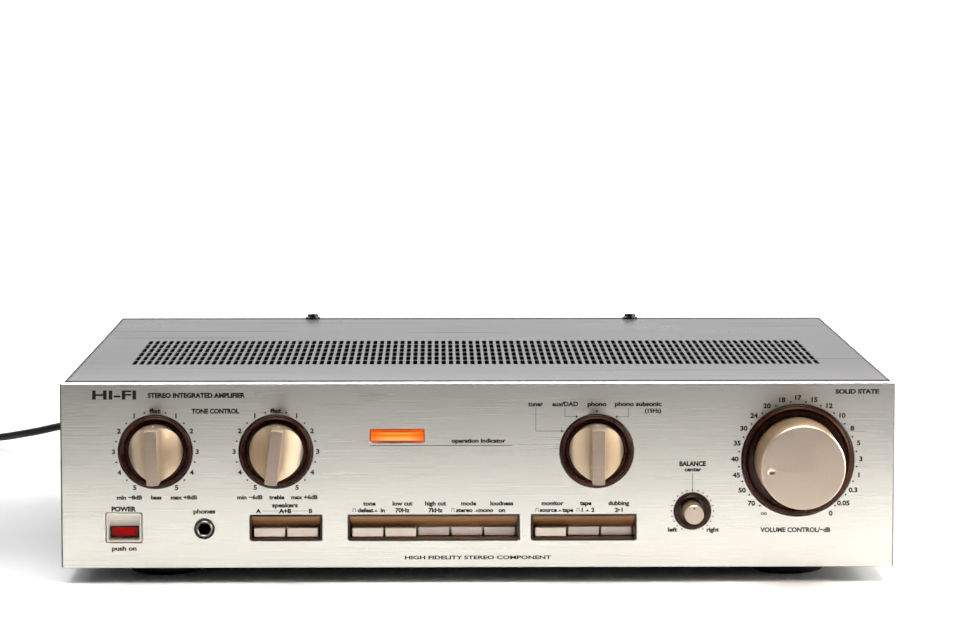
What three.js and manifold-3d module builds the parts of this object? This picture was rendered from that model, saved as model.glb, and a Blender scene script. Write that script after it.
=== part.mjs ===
// An integrated stereo amplifier, in millimetres, built piece by piece.
// +X runs to the right seen from the front, +Y to the back and +Z up. Everything is placed from
// the front panel's face (y = 0), the middle of its width (x = 0) and the table (z = 0). The
// last lines move the whole so that its origin is under the middle of the amplifier.
import * as THREE from "three";
import { mergeVertices } from "three/addons/utils/BufferGeometryUtils.js";
import Module from "manifold-3d";

const wasm = await Module();
wasm.setup();

// ---- Driving dimensions ----
const panelWidth = 438;
const panelHeight = 98.3;
const panelThickness = 4;
const panelBevel = 0.8;
const bodyDepth = 340; // panel face to the cover's rear edge
const coverInset = 1.7; // cover side in from the panel's end
const coverRise = 0.5; // cover top above the panel's top edge
const coverSheet = 1;
const chassisSheet = 1.2;
const footHeight = 8.7;
const footRadius = 20;
const panelClearance = 8; // table to the panel's lower edge
const gap = 0.3; // between pieces that touch
const slack = 0.6; // round a piece that moves

// Vent slots in the cover's top, each column cut as one long slot.
const ventMargin = 28; // least width of plain cover at each side of the slots
const ventPitch = 3.94;
const ventSlotWidth = 2.4;
const ventFront = 80;
const ventLength = 123;

// Rotary controls: bezel rings that the knobs turn in.
const knobRowHeight = 61.8; // above the panel's lower edge
const knobRadius = 14.25;
const knobReach = 27;
const knobSeat = 4.2; // how far the skirt sits behind the panel's face
const gripWidth = 6.3;
const ringRadius = 19.1;
const volumeRadius = 22.6;
const volumeReach = 29;
const volumeRingRadius = 29.3;
const volumeRingInner = 25.2;
const volumeHeight = 56.7;
const dimpleRadius = 2;
const dimpleOffset = 16.8;
const balanceRadius = 5.2;
const balanceReach = 14;
const balanceRingRadius = 9.35;
const balanceHeight = 29.9;
const shaftRadius = 3;
const balanceShaftRadius = 2;
const bushWall = 1.5;
const ringLip = 0.35; // ring in front of the panel
const ringDepth = 6.6;
const ringDish = 2.4;
const wellFloor = 5;

// Push buttons in their recessed banks.
const buttonWidth = 16.2;
const buttonHeight = 4.6;
const buttonPitch = 17.4;
const buttonTravel = 3.4;
const buttonCap = 7; // length of the cap, front to back
const buttonOut = 1.2; // face behind the panel's face when released
const bankHeight = 12.9;
const bankEdge = 1.5; // slope at the two ends of a bank
const bankDepth = 9;
const bankSlope = 5; // depth of the sloping upper face
const bankLift = 21.3; // middle of the banks above the panel's lower edge
const buttonDrop = 2.6; // button centre below the bank's middle
const bankLip = 0.2;
const stemWidth = 4;
const stemHeight = 3;
const stemLength = 16;
const powerWidth = 18.4;
const powerHeight = 15.2;
const powerCapWidth = 14.7;
const powerCapHeight = 5.7;
const powerTravel = 4;

// Frame of the chassis, front to back.
const subchassisFront = 16;
const switchBodyDepth = 14;
const potSize = 22;
const potDepth = 10;
const rearInset = 2.5; // rear panel's outer face in front of the cover's rear edge

// Headphone jack and indicator.
const jackRadius = 4.35;
const jackHole = 3.2;
const jackCollarRadius = 5.45;
const jackDepth = 24;
const jackProud = 1.5;
const lensWidth = 27.7;
const lensHeight = 6.2;

// Mains lead.
const cordRadius = 2.5;
const coilMidRadius = 29.25;
const coilTurnsAcross = 5;
const coilLayers = 2;
const plugThickness = 14;

// Places across the panel: each group is measured from the edge that it belongs to.
const leftEdge = -panelWidth / 2;
const rightEdge = panelWidth / 2;
const powerX = leftEdge + 33;
const bassX = leftEdge + 49.8;
const jackX = leftEdge + 75.2;
const trebleX = leftEdge + 113;
const speakersX = leftEdge + 118;
const functionX = -23.3;
const indicatorX = -42.4;
const tapeX = 55.6;
const selectorX = 62.3;
const balanceX = rightEdge - 106.2;
const volumeX = rightEdge - 50.9;
const indicatorHeight = 70;
const jackHeight = 20.9;

// Heights and depths worked out from the above.
const panelBottom = panelClearance;
const panelTop = panelBottom + panelHeight;
const coverTop = panelTop + coverRise;
const coverBottom = panelBottom + 1.5;
const coverFront = panelThickness + gap;
const coverWidth = panelWidth - 2 * coverInset;
const coverHalf = coverWidth / 2;
const ventRun = coverWidth - 2 * ventMargin - ventSlotWidth;
const ventColumns = Math.floor(ventRun / ventPitch) + 1;
const chassisHalf = coverHalf - coverSheet - gap;
const chassisBottom = footHeight + gap;
const chassisFloor = chassisBottom + chassisSheet;
const roof = coverTop - coverSheet - gap;
const rearFace = bodyDepth - rearInset;
const rearFront = rearFace - chassisSheet;
const subchassisBack = subchassisFront + chassisSheet;
const switchFront = subchassisBack + gap;
const knobZ = panelBottom + knobRowHeight;
const volumeZ = panelBottom + volumeHeight;
const balanceZ = panelBottom + balanceHeight;
const bankZ = panelBottom + bankLift;
const buttonZ = bankZ - buttonDrop;

// ---- Solids ----
function solidOf(geometry) {
  const bare = geometry.index ? geometry.toNonIndexed() : geometry.clone();
  bare.deleteAttribute("normal");
  bare.deleteAttribute("uv");
  const merged = mergeVertices(bare, 1e-4);
  return new wasm.Manifold(
    new wasm.Mesh({
      numProp: 3,
      vertProperties: merged.attributes.position.array,
      triVerts: new Uint32Array(merged.index.array),
    }),
  );
}

function geometryOf(solid) {
  const mesh = solid.getMesh();
  const geometry = new THREE.BufferGeometry();
  geometry.setAttribute("position", new THREE.BufferAttribute(mesh.vertProperties, 3));
  geometry.setIndex(new THREE.BufferAttribute(mesh.triVerts, 1));
  const flat = geometry.toNonIndexed();
  flat.computeVertexNormals();
  return flat;
}

function join(...solids) {
  return solids.reduce((whole, next) => whole.add(next));
}

function cut(solid, ...tools) {
  return tools.reduce((rest, tool) => rest.subtract(tool), solid);
}

// A block between two limits along each axis.
function block([x0, x1], [y0, y1], [z0, z1]) {
  const geometry = new THREE.BoxGeometry(x1 - x0, y1 - y0, z1 - z0);
  return solidOf(geometry.translate((x0 + x1) / 2, (y0 + y1) / 2, (z0 + z1) / 2));
}

// A block of a given width and height round a point of the panel, from depth y0 to y1.
function bar(x, z, width, height, y0, y1) {
  return block([x - width / 2, x + width / 2], [y0, y1], [z - height / 2, z + height / 2]);
}

// A turned piece: pairs of radius and depth, front to back along its outside, turned about +Y.
function turned(profile, x, z, segments = 32) {
  const points = profile.map(([radius, depth]) => new THREE.Vector2(radius, depth));
  return solidOf(new THREE.LatheGeometry(points, segments).translate(x, 0, z));
}

function drum(radius, y0, y1, x, z, segments = 24) {
  return turned([[0, y0], [radius, y0], [radius, y1], [0, y1]], x, z, segments);
}

// A turned piece that stands on the table: pairs of radius and height.
function standing(profile, x, y, segments = 32) {
  const points = profile.map(([radius, height]) => new THREE.Vector2(radius, -height));
  const geometry = new THREE.LatheGeometry(points.reverse(), segments);
  return solidOf(geometry.rotateX(-Math.PI / 2).translate(x, y, 0));
}

function post(radius, z0, z1, x, y, segments = 24) {
  return standing([[0, z0], [radius, z0], [radius, z1], [0, z1]], x, y, segments);
}

// An outline in the X-Y plane made into a plate from z0 to z1.
function plate(outline, z0, z1) {
  const shape = new THREE.Shape(outline.map(([x, y]) => new THREE.Vector2(x, y)));
  const geometry = new THREE.ExtrudeGeometry(shape, { depth: z1 - z0, bevelEnabled: false });
  return solidOf(geometry.translate(0, 0, z0));
}

// ---- Materials ----
function finish(color, roughness, metalness) {
  return new THREE.MeshStandardMaterial({ color, roughness, metalness });
}

const materials = {
  panel: finish(0xd2d0c8, 0.35, 0.9),
  bronze: finish(0x2a120c, 0.15, 0.1),
  champagne: finish(0xd0bda6, 0.32, 0.85),
  cream: finish(0xe1d4c8, 0.4, 0),
  red: finish(0x820a0a, 0.35, 0),
  silver: finish(0xb8b2a4, 0.3, 0.8),
  chrome: finish(0xd8d8d8, 0.12, 1),
  black: finish(0x111112, 0.5, 0),
  amber: finish(0xff9a30, 0.2, 0),
  lamp: finish(0xfff0d0, 0.4, 0),
  cover: finish(0xa9a7a8, 0.45, 0.35),
  steel: finish(0xb9bcbd, 0.4, 0.9),
  board: finish(0x9a7a42, 0.6, 0),
  sink: finish(0x2c2c2e, 0.5, 0.8),
  core: finish(0x4d4a48, 0.5, 0.7),
  sleeve: finish(0x1c2c5a, 0.35, 0),
  rubber: finish(0x0c0c0c, 0.7, 0),
};

const amplifier = new THREE.Group();

function piece(name, solid, material, group = amplifier) {
  const mesh = new THREE.Mesh(geometryOf(solid), materials[material]);
  mesh.name = name;
  group.add(mesh);
  return mesh;
}

// ---- Rotary controls: ring, knob and the part that it turns ----
const pointerShape = { radius: knobRadius, reach: knobReach, shaft: shaftRadius };
const rotaries = [
  { name: "bass", x: bassX, z: knobZ, ring: ringRadius, ...pointerShape, turn: -2.6 },
  { name: "treble", x: trebleX, z: knobZ, ring: ringRadius, ...pointerShape, turn: 7.2 },
  { name: "selector", x: selectorX, z: knobZ, ring: ringRadius, ...pointerShape, turn: 0 },
  {
    name: "volume", x: volumeX, z: volumeZ, ring: volumeRingRadius, radius: volumeRadius,
    reach: volumeReach, shaft: shaftRadius, turn: -97, inner: volumeRingInner,
  },
  {
    name: "balance", x: balanceX, z: balanceZ, ring: balanceRingRadius, radius: balanceRadius,
    reach: balanceReach, shaft: balanceShaftRadius, turn: 0, inner: balanceRadius + 2.2,
  },
];

function wellRadius({ radius, inner }) {
  return inner ?? radius + slack;
}

// A dark ring let into the panel: a lip, a dished face, then a well with a hole for the shaft.
function bezelRing(control) {
  const well = wellRadius(control);
  const hole = control.shaft + slack;
  return turned(
    [
      [control.ring - 0.4, -ringLip],
      [control.ring, 0],
      [control.ring, ringDepth],
      [hole, ringDepth],
      [hole, wellFloor],
      [well, wellFloor],
      [well, ringDish],
      [control.ring - 0.4, -ringLip],
    ],
    control.x, control.z,
  );
}

// The grip of a pointer knob seen from above: a bar with a hollow slope on each side.
function gripOutline() {
  const half = gripWidth / 2;
  const slope = [[half, -14], [6, -7.5], [9.5, -1.5], [knobRadius + 1, 3]];
  const right = [[half, -knobReach], ...slope, [knobRadius + 1, knobSeat]];
  const left = right.map(([x, y]) => [-x, y]).reverse();
  return [...right, ...left];
}

function shaftOf(control) {
  return drum(control.shaft, knobSeat - 1, subchassisBack + 5, 0, 0, 16);
}

function pointerKnob(control) {
  const body = drum(control.radius, -control.reach, knobSeat, 0, 0, 36);
  const grip = plate(gripOutline(), -control.radius - 1, control.radius + 1);
  return join(body.intersect(grip), shaftOf(control));
}

// A plain round knob, a little smaller at its face, with a bevelled rim.
function roundKnob(control, taper, bevel) {
  const face = control.radius - taper;
  const body = turned(
    [
      [0, -control.reach],
      [face - bevel, -control.reach],
      [face, bevel - control.reach],
      [control.radius, knobSeat],
      [0, knobSeat],
    ],
    0, 0,
  );
  return join(body, shaftOf(control));
}

function volumeKnob(control) {
  const dimple = drum(dimpleRadius, -control.reach - 1, 0.8 - control.reach, 0, dimpleOffset, 12);
  return cut(roundKnob(control, 0.7, 0.6), dimple);
}

// A potentiometer or switch: a case behind the sub-chassis with a threaded bush round the shaft.
function rotaryBody(control) {
  const bush = control.shaft + gap;
  const hollow = drum(bush, subchassisFront - 8, subchassisBack + 7, control.x, control.z, 16);
  const sleeve = drum(
    bush + bushWall, subchassisFront - 6, switchFront + 1, control.x, control.z, 16,
  );
  const box = bar(control.x, control.z, potSize, potSize, switchFront, switchFront + potDepth);
  return cut(join(sleeve, box), hollow);
}

const knobMakers = {
  volume: volumeKnob,
  balance: (control) => roundKnob(control, 0.2, 0.4),
};

for (const control of rotaries) {
  piece(`${control.name}_ring`, bezelRing(control), "bronze");
  const make = knobMakers[control.name] ?? pointerKnob;
  const knob = piece(`${control.name}_knob`, make(control), "champagne");
  knob.position.set(control.x, 0, control.z);
  knob.rotation.y = THREE.MathUtils.degToRad(control.turn);
  const part = control.name === "selector" ? "switch" : "potentiometer";
  piece(`${control.name}_${part}`, rotaryBody(control), "steel");
}

// ---- Push-button banks ----
const banks = [
  { name: "speaker", x: speakersX, buttons: { speaker_a: false, speaker_b: false } },
  {
    name: "function", x: functionX,
    buttons: { tone: false, low_cut: false, high_cut: true, mode: true, loudness: true },
  },
  { name: "tape", x: tapeX, buttons: { monitor: false, tape: true, dubbing: true } },
];

function bankWidth({ buttons }) {
  const count = Object.keys(buttons).length;
  return count * buttonPitch - (buttonPitch - buttonWidth) + 2 * (bankEdge + slack / 2);
}

// The recess that a row of buttons works in: a long slope above them and a ledge below.
function recess(x, z, width, height, opening, openingHeight, openingZ) {
  const top = z + height / 2 - 0.5;
  const bottom = z - height / 2 + 0.5;
  const ledge = openingZ - openingHeight / 2;
  const ceiling = openingZ + openingHeight / 2;
  const half = width / 2 - 0.5;
  const front = -bankLip - 1;
  const tip = bankSlope / (top - ceiling);
  const side = new THREE.Shape([
    new THREE.Vector2(front, bottom),
    new THREE.Vector2(bankSlope, ledge),
    new THREE.Vector2(bankSlope, ceiling),
    new THREE.Vector2(front, top + (bankLip + 1) / tip),
  ]);
  const wedge = new THREE.ExtrudeGeometry(side, { depth: 2 * half, bevelEnabled: false });
  wedge.applyMatrix4(
    new THREE.Matrix4().makeBasis(
      new THREE.Vector3(0, 1, 0), new THREE.Vector3(0, 0, 1), new THREE.Vector3(1, 0, 0),
    ),
  );
  const hollow = solidOf(wedge.translate(x - half, 0, 0));
  const ends = plate(
    [
      [x - half, front],
      [x + half, front],
      [x + opening / 2, bankSlope],
      [x - opening / 2, bankSlope],
    ],
    z - height, z + height,
  );
  return hollow.intersect(ends);
}

function bezel(x, z, width, height, opening, openingHeight, openingZ) {
  return cut(
    bar(x, z, width, height, -bankLip, bankDepth),
    recess(x, z, width, height, opening, openingHeight, openingZ),
    bar(x, openingZ, opening, openingHeight, bankSlope - 1, bankDepth + 1),
  );
}

// A button's cap and the stem that works its switch, with its face at depth y.
function button(x, z, width, height, y) {
  return join(
    bar(x, z, width, height, y, y + buttonCap),
    bar(x, z, stemWidth, stemHeight, y + buttonCap - 1, y + buttonCap + stemLength),
  );
}

const switchDepth = switchFront + switchBodyDepth;
const switchBodies = [];
const stemHoles = [];
const stemReach = stemLength + buttonCap + buttonOut + powerTravel + slack;
for (const bank of banks) {
  const width = bankWidth(bank);
  const opening = width - 2 * bankEdge;
  const openingHeight = buttonHeight + slack;
  piece(
    `${bank.name}_bezel`,
    bezel(bank.x, bankZ, width, bankHeight, opening, openingHeight, buttonZ),
    "bronze",
  );
  const names = Object.keys(bank.buttons);
  const first = bank.x - ((names.length - 1) * buttonPitch) / 2;
  names.forEach((name, index) => {
    const x = first + index * buttonPitch;
    const y = buttonOut + (bank.buttons[name] ? buttonTravel : 0);
    piece(`${name}_button`, button(x, buttonZ, buttonWidth, buttonHeight, y), "cream");
    stemHoles.push(bar(x, buttonZ, stemWidth + 2 * slack, stemHeight + 2 * slack, 0, stemReach));
  });
  switchBodies.push(bar(bank.x, buttonZ, width - 4, 11, switchFront, switchDepth));
}

// The power button is pressed in at rest.
const powerZ = buttonZ;
const powerBezelZ = bankZ + 0.2;
piece(
  "power_bezel",
  bezel(
    powerX, powerBezelZ, powerWidth, powerHeight, powerCapWidth + slack, powerCapHeight + slack,
    powerZ,
  ),
  "silver",
);
piece(
  "power_button",
  button(powerX, powerZ, powerCapWidth, powerCapHeight, buttonOut + powerTravel),
  "red",
);
const powerHole = bar(
  powerX, powerZ, stemWidth + 2 * slack, stemHeight + 2 * slack, 0, stemReach + powerTravel,
);
piece(
  "power_switch",
  cut(bar(powerX, powerZ, 15, 13, switchFront, switchFront + 26), powerHole),
  "black",
);

// One board carries the switches of all three banks.
const boardLeft = speakersX - 24;
const boardRight = tapeX + 32;
const boardTop = buttonZ - 5;
const switchBoard = block(
  [boardLeft, boardRight], [switchFront + 2, switchFront + 34], [boardTop - 1.6, boardTop],
);
piece("switch_board", cut(join(switchBoard, ...switchBodies), ...stemHoles), "board");

// ---- Front panel and what is let into it ----
function panelPlate() {
  const half = panelWidth / 2;
  const outline = [
    [-half + panelBevel, 0],
    [half - panelBevel, 0],
    [half, panelBevel],
    [half, panelThickness],
    [-half, panelThickness],
    [-half, panelBevel],
  ];
  const body = plate(outline, panelBottom, panelTop);
  const topEdge = new THREE.Shape([
    new THREE.Vector2(-1, panelTop - panelBevel - 1),
    new THREE.Vector2(panelBevel + 1, panelTop + 1),
    new THREE.Vector2(-1, panelTop + 1),
  ]);
  const bevel = new THREE.ExtrudeGeometry(topEdge, { depth: panelWidth + 2, bevelEnabled: false });
  bevel.applyMatrix4(
    new THREE.Matrix4().makeBasis(
      new THREE.Vector3(0, 1, 0), new THREE.Vector3(0, 0, 1), new THREE.Vector3(1, 0, 0),
    ),
  );
  return cut(body, solidOf(bevel.translate(-half - 1, 0, 0)));
}

const jackZ = panelBottom + jackHeight;
const lensZ = panelBottom + indicatorHeight;
const through = [-1, panelThickness + 1];
const panelHoles = [
  ...rotaries.map((c) => drum(c.ring + gap, ...through, c.x, c.z, 32)),
  ...banks.map((b) =>
    bar(b.x, bankZ, bankWidth(b) + 2 * gap, bankHeight + 2 * gap, ...through),
  ),
  bar(powerX, powerBezelZ, powerWidth + 2 * gap, powerHeight + 2 * gap, ...through),
  drum(jackRadius + gap, ...through, jackX, jackZ),
  bar(indicatorX, lensZ, lensWidth + 2 * gap, lensHeight + 2 * gap, ...through),
];
piece("front_panel", cut(panelPlate(), ...panelHoles), "panel");

// The jack's bush comes through the panel, and a collar holds it from the front.
piece(
  "headphone_jack",
  turned(
    [
      [jackHole, -jackProud],
      [jackRadius, -jackProud],
      [jackRadius, panelThickness + gap],
      [jackRadius + 3, panelThickness + gap],
      [jackRadius + 3, jackDepth],
      [0, jackDepth],
      [0, jackDepth - 3],
      [jackHole, jackDepth - 3],
      [jackHole, -jackProud],
    ],
    jackX, jackZ, 24,
  ),
  "chrome",
);
piece(
  "headphone_collar",
  turned(
    [
      [jackRadius + gap, -jackProud + 0.3],
      [jackCollarRadius, -jackProud + 0.3],
      [jackCollarRadius, -gap],
      [jackRadius + gap, -gap],
      [jackRadius + gap, -jackProud + 0.3],
    ],
    jackX, jackZ, 24,
  ),
  "black",
);

// A bowed lens with a strip lamp behind it.
function lensOutline() {
  const half = lensWidth / 2;
  const front = [];
  const steps = 8;
  for (let i = 0; i <= steps; i += 1) {
    const across = -1 + (2 * i) / steps;
    front.push([indicatorX + across * half, -0.3 - 0.7 * (1 - across * across)]);
  }
  return [...front, [indicatorX + half, 3], [indicatorX - half, 3]];
}
piece(
  "indicator_lens",
  plate(lensOutline(), lensZ - lensHeight / 2, lensZ + lensHeight / 2),
  "amber",
);
piece("indicator_lamp", bar(indicatorX, lensZ, lensWidth - 3, lensHeight - 2, 3 + gap, 11), "lamp");

// ---- Chassis ----
const subchassisHoles = [
  ...rotaries.map((c) =>
    drum(c.shaft + gap + bushWall + gap, subchassisFront - 1, subchassisBack + 1, c.x, c.z, 16),
  ),
  ...stemHoles,
  powerHole,
  drum(jackRadius + 3 + gap, subchassisFront - 1, subchassisBack + 1, jackX, jackZ),
];
const subchassis = block(
  [-chassisHalf, chassisHalf], [subchassisFront, subchassisBack], [chassisFloor + gap, roof],
);
piece("front_subchassis", cut(subchassis, ...subchassisHoles), "steel");

// Base pan with a low wall along each side.
const baseFront = panelThickness + gap;
const baseBack = rearFront - gap;
const wallHeight = 30;
const wallFront = subchassisBack + gap;
const pan = block([-chassisHalf, chassisHalf], [baseFront, baseBack], [chassisBottom, chassisFloor]);
const walls = [-1, 1].map((side) => {
  const outer = side * chassisHalf;
  const inner = side * (chassisHalf - chassisSheet);
  return block(
    [Math.min(outer, inner), Math.max(outer, inner)], [wallFront, baseBack],
    [chassisBottom, chassisFloor + wallHeight],
  );
});
piece("chassis_base", join(pan, ...walls), "steel");

// Rear panel with a flange under the cover, and openings for the sockets and the lead.
const socketPairs = 7;
const socketPitch = 19;
const socketRowGap = 19;
const socketRadius = 4.2;
const socketReach = 9;
const phonoX = -62;
const phonoZ = panelBottom + 62;
const phonoWidth = socketPairs * socketPitch + 14;
const phonoHeight = socketRowGap + 22;
const speakerTerminalX = 118;
const speakerTerminalZ = panelBottom + 52;
const terminalColumns = 4;
const terminalPitch = 19;
const terminalWidth = terminalColumns * terminalPitch + 10;
const terminalHeight = 50;
const flangeReach = 14;
const coverScrewX = 98.2;
const coverScrewY = bodyDepth - 7;
const screwShank = 1.9;
const cordX = leftEdge + 31;
const cordZ = 40;
const reliefNeck = 4.6;

const windows = [
  bar(phonoX, phonoZ, phonoWidth - 8, phonoHeight - 8, rearFront - 1, rearFace + 1),
  bar(
    speakerTerminalX, speakerTerminalZ, terminalWidth - 8, terminalHeight - 8, rearFront - 1,
    rearFace + 1,
  ),
  drum(reliefNeck + gap, rearFront - 1, rearFace + 1, cordX, cordZ, 20),
];
const screwHoles = [-1, 1].map((side) =>
  post(screwShank + gap, roof - 3, coverTop + 1, side * coverScrewX, coverScrewY, 16),
);
const rearSheet = join(
  block([-chassisHalf, chassisHalf], [rearFront, rearFace], [chassisBottom, roof]),
  block([-chassisHalf, chassisHalf], [rearFace - flangeReach, rearFace], [roof - chassisSheet, roof]),
);
piece("rear_panel", cut(rearSheet, ...windows, ...screwHoles), "steel");

// Cover: one folded sheet over the top and both sides.
function coverShell() {
  const outer = block([-coverHalf, coverHalf], [coverFront, bodyDepth], [coverBottom, coverTop]);
  const innerHalf = coverHalf - coverSheet;
  const inner = block(
    [-innerHalf, innerHalf], [coverFront - 1, bodyDepth + 1], [0, coverTop - coverSheet],
  );
  const slots = [];
  for (let column = 0; column < ventColumns; column += 1) {
    const x = (column - (ventColumns - 1) / 2) * ventPitch;
    slots.push(
      block(
        [x - ventSlotWidth / 2, x + ventSlotWidth / 2], [ventFront, ventFront + ventLength],
        [coverTop - 3, coverTop + 1],
      ),
    );
  }
  return cut(outer, inner, join(...slots), ...screwHoles);
}
piece("top_cover", coverShell(), "cover");

[-1, 1].forEach((side) => {
  const x = side * coverScrewX;
  const head = standing(
    [
      [0, roof - 6],
      [screwShank, roof - 6],
      [screwShank, coverTop + gap],
      [4.6, coverTop + gap],
      [4.6, coverTop + 1.1],
      [3.6, coverTop + 1.5],
      [3.2, coverTop + 3],
      [0, coverTop + 3],
    ],
    x, coverScrewY, 20,
  );
  piece(side < 0 ? "cover_screw_left" : "cover_screw_right", head, "black");
});

// Feet, set in from the corners.
const footInsetX = 52;
const footInsetFront = 42;
const footInsetRear = 52;
for (const [side, x] of [["left", leftEdge + footInsetX], ["right", rightEdge - footInsetX]]) {
  for (const [end, y] of [["front", footInsetFront], ["rear", bodyDepth - footInsetRear]]) {
    const foot = standing(
      [
        [0, 0],
        [footRadius - 1.5, 0],
        [footRadius, 1.5],
        [footRadius, footHeight],
        [0, footHeight],
      ],
      x, y, 20,
    );
    piece(`foot_${end}_${side}`, foot, "rubber");
  }
}

// ---- Sockets on the back ----
function socketGrid(columns, rows, pitch, rowGap, x, z, make) {
  const made = [];
  for (let column = 0; column < columns; column += 1) {
    for (let row = 0; row < rows; row += 1) {
      const across = x + (column - (columns - 1) / 2) * pitch;
      const up = z + (row - (rows - 1) / 2) * rowGap;
      made.push(make(across, up));
    }
  }
  return made;
}

const mountFace = rearFace + gap;
const flangeSheet = 1.6;
function socketPanel(x, z, width, height, barrels, bores) {
  const flange = bar(x, z, width, height, mountFace, mountFace + flangeSheet);
  const inside = width - 8 - 2 * gap;
  const insideHeight = height - 8 - 2 * gap;
  const body = bar(x, z, inside, insideHeight, rearFront - 8, mountFace + 1);
  return cut(join(flange, body, ...barrels), ...bores);
}

const phonoEnd = mountFace + flangeSheet + socketReach;
const phonoBarrels = socketGrid(
  socketPairs, 2, socketPitch, socketRowGap, phonoX, phonoZ,
  (x, z) => drum(socketRadius, mountFace, phonoEnd, x, z, 10),
);
const phonoBores = socketGrid(
  socketPairs, 2, socketPitch, socketRowGap, phonoX, phonoZ,
  (x, z) => drum(1.6, phonoEnd - 8, phonoEnd + 1, x, z, 6),
);
piece(
  "phono_socket_block",
  socketPanel(phonoX, phonoZ, phonoWidth, phonoHeight, phonoBarrels, phonoBores),
  "black",
);

const terminalEnd = mountFace + flangeSheet + 5;
const terminalBosses = socketGrid(
  terminalColumns, 2, terminalPitch, 22, speakerTerminalX, speakerTerminalZ,
  (x, z) => drum(5.5, mountFace, terminalEnd, x, z, 12),
);
const terminalBores = socketGrid(
  terminalColumns, 2, terminalPitch, 22, speakerTerminalX, speakerTerminalZ,
  (x, z) => drum(2, terminalEnd - 12, terminalEnd + 1, x, z, 8),
);
piece(
  "speaker_terminal_block",
  socketPanel(
    speakerTerminalX, speakerTerminalZ, terminalWidth, terminalHeight, terminalBosses,
    terminalBores,
  ),
  "black",
);

// ---- What the case holds ----
const transformerX = leftEdge + 84;
const transformerY = 118;
const coreTop = chassisFloor + gap + 62;
const transformer = join(
  bar(transformerX, chassisFloor + gap + 1, 92, 2, transformerY - 30, transformerY + 30),
  block(
    [transformerX - 38, transformerX + 38], [transformerY - 18, transformerY + 18],
    [chassisFloor + gap, coreTop],
  ),
  block(
    [transformerX - 24, transformerX + 24], [transformerY - 32, transformerY + 32],
    [chassisFloor + gap + 12, coreTop - 12],
  ),
);
piece("power_transformer", transformer, "core");

const boardZ = chassisFloor + 8;
const boardSheet = 1.6;
const mainLeft = transformerX + 60;
const mainRight = rightEdge - 12;
const mainFront = 66;
const mainBack = rearFront - 14;
const spacers = [mainLeft + 8, mainRight - 8].flatMap((x) =>
  [mainFront + 8, mainBack - 8].map((y) => post(3, chassisFloor + gap, boardZ + 0.5, x, y, 12)),
);
const mainBoard = block(
  [mainLeft, mainRight], [mainFront, mainBack], [boardZ, boardZ + boardSheet],
);
piece("main_circuit_board", join(mainBoard, ...spacers), "board");

// Heat sink: a back plate with upright fins, under the vents.
const boardFace = boardZ + boardSheet + gap;
const sinkLeft = -34;
const sinkRight = 176;
const sinkFront = 118;
const sinkDepth = 38;
const sinkPlate = 5;
const finCount = 15;
const finThickness = 2;
function sinkOutline() {
  const pitch = (sinkRight - sinkLeft - finThickness) / (finCount - 1);
  const outline = [[sinkLeft, sinkFront], [sinkRight, sinkFront]];
  for (let fin = finCount - 1; fin >= 0; fin -= 1) {
    const left = sinkLeft + fin * pitch;
    outline.push([left + finThickness, sinkFront + (fin === finCount - 1 ? sinkDepth : sinkPlate)]);
    if (fin < finCount - 1) outline.push([left + finThickness, sinkFront + sinkDepth]);
    outline.push([left, sinkFront + sinkDepth]);
    if (fin > 0) outline.push([left, sinkFront + sinkPlate]);
  }
  return outline;
}
piece("heat_sink", plate(sinkOutline(), boardFace, roof - 14), "sink");

const outputZ = boardFace + 34;
piece(
  "output_module",
  bar(sinkLeft + 60, outputZ, 78, 26, sinkFront - gap - 9, sinkFront - gap),
  "black",
);

const capacitorRadius = 17.5;
for (const [name, x] of [["left", -18], ["right", 24]]) {
  piece(
    `filter_capacitor_${name}`,
    post(capacitorRadius, boardFace, boardFace + 52, x, 212, 24),
    "sleeve",
  );
}

// ---- Mains lead: strain relief, lead, coil and plug ----
const reliefTip = rearFace + 36;
piece(
  "strain_relief",
  turned(
    [
      [0, rearFront - 4],
      [reliefNeck, rearFront - 4],
      [reliefNeck, mountFace],
      [reliefNeck + 1.9, mountFace],
      [reliefNeck + 1.9, mountFace + 4],
      [reliefNeck, mountFace + 5],
      [cordRadius + 0.9, reliefTip],
      [0, reliefTip],
    ],
    cordX, cordZ, 20,
  ),
  "rubber",
);

// The lead's route from the strain relief to its coil, chosen by hand.
const cordRoute = [
  [-188, 373.8, 40], [-188, 383, 40], [-188.6, 392, 39.8], [-191, 404, 39.3], [-197, 417, 38.2],
  [-207, 430, 36.2], [-221, 442, 33.4], [-237, 452.5, 30], [-254, 462, 26.2],
  [-270.5, 472, 22], [-285, 483.5, 17.6], [-297.5, 497, 13.8], [-308, 511.5, 10.4],
  [-318, 526.5, 7.4], [-328.5, 541, 5], [-339.5, 556, 3.3], [-350.5, 570, 2.7],
];
const cordSides = 8;
const cordSteps = 44;
const cordCurve = new THREE.CatmullRomCurve3(
  cordRoute.map(([x, y, z]) => new THREE.Vector3(x, y, z)), false, "centripetal",
);
const cordSection = new THREE.Shape(
  Array.from({ length: cordSides }, (_, side) => {
    const angle = (2 * Math.PI * side) / cordSides;
    return new THREE.Vector2(cordRadius * Math.cos(angle), cordRadius * Math.sin(angle));
  }),
);
const cordTube = new THREE.ExtrudeGeometry(cordSection, {
  steps: cordSteps, extrudePath: cordCurve, bevelEnabled: false,
});
piece("power_cord", solidOf(cordTube), "rubber");

const coilX = -394.4;
const coilY = 561.6;
const coilHalf = coilTurnsAcross * cordRadius + 0.15;
const coilTop = 2 * coilLayers * cordRadius + 0.3;
const coilBase = 0.1;
piece(
  "cord_coil",
  standing(
    [
      [coilMidRadius - coilHalf, coilBase],
      [coilMidRadius + coilHalf, coilBase],
      [coilMidRadius + coilHalf, coilTop],
      [coilMidRadius - coilHalf, coilTop],
      [coilMidRadius - coilHalf, coilBase],
    ],
    coilX, coilY, 28,
  ),
  "rubber",
);

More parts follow.
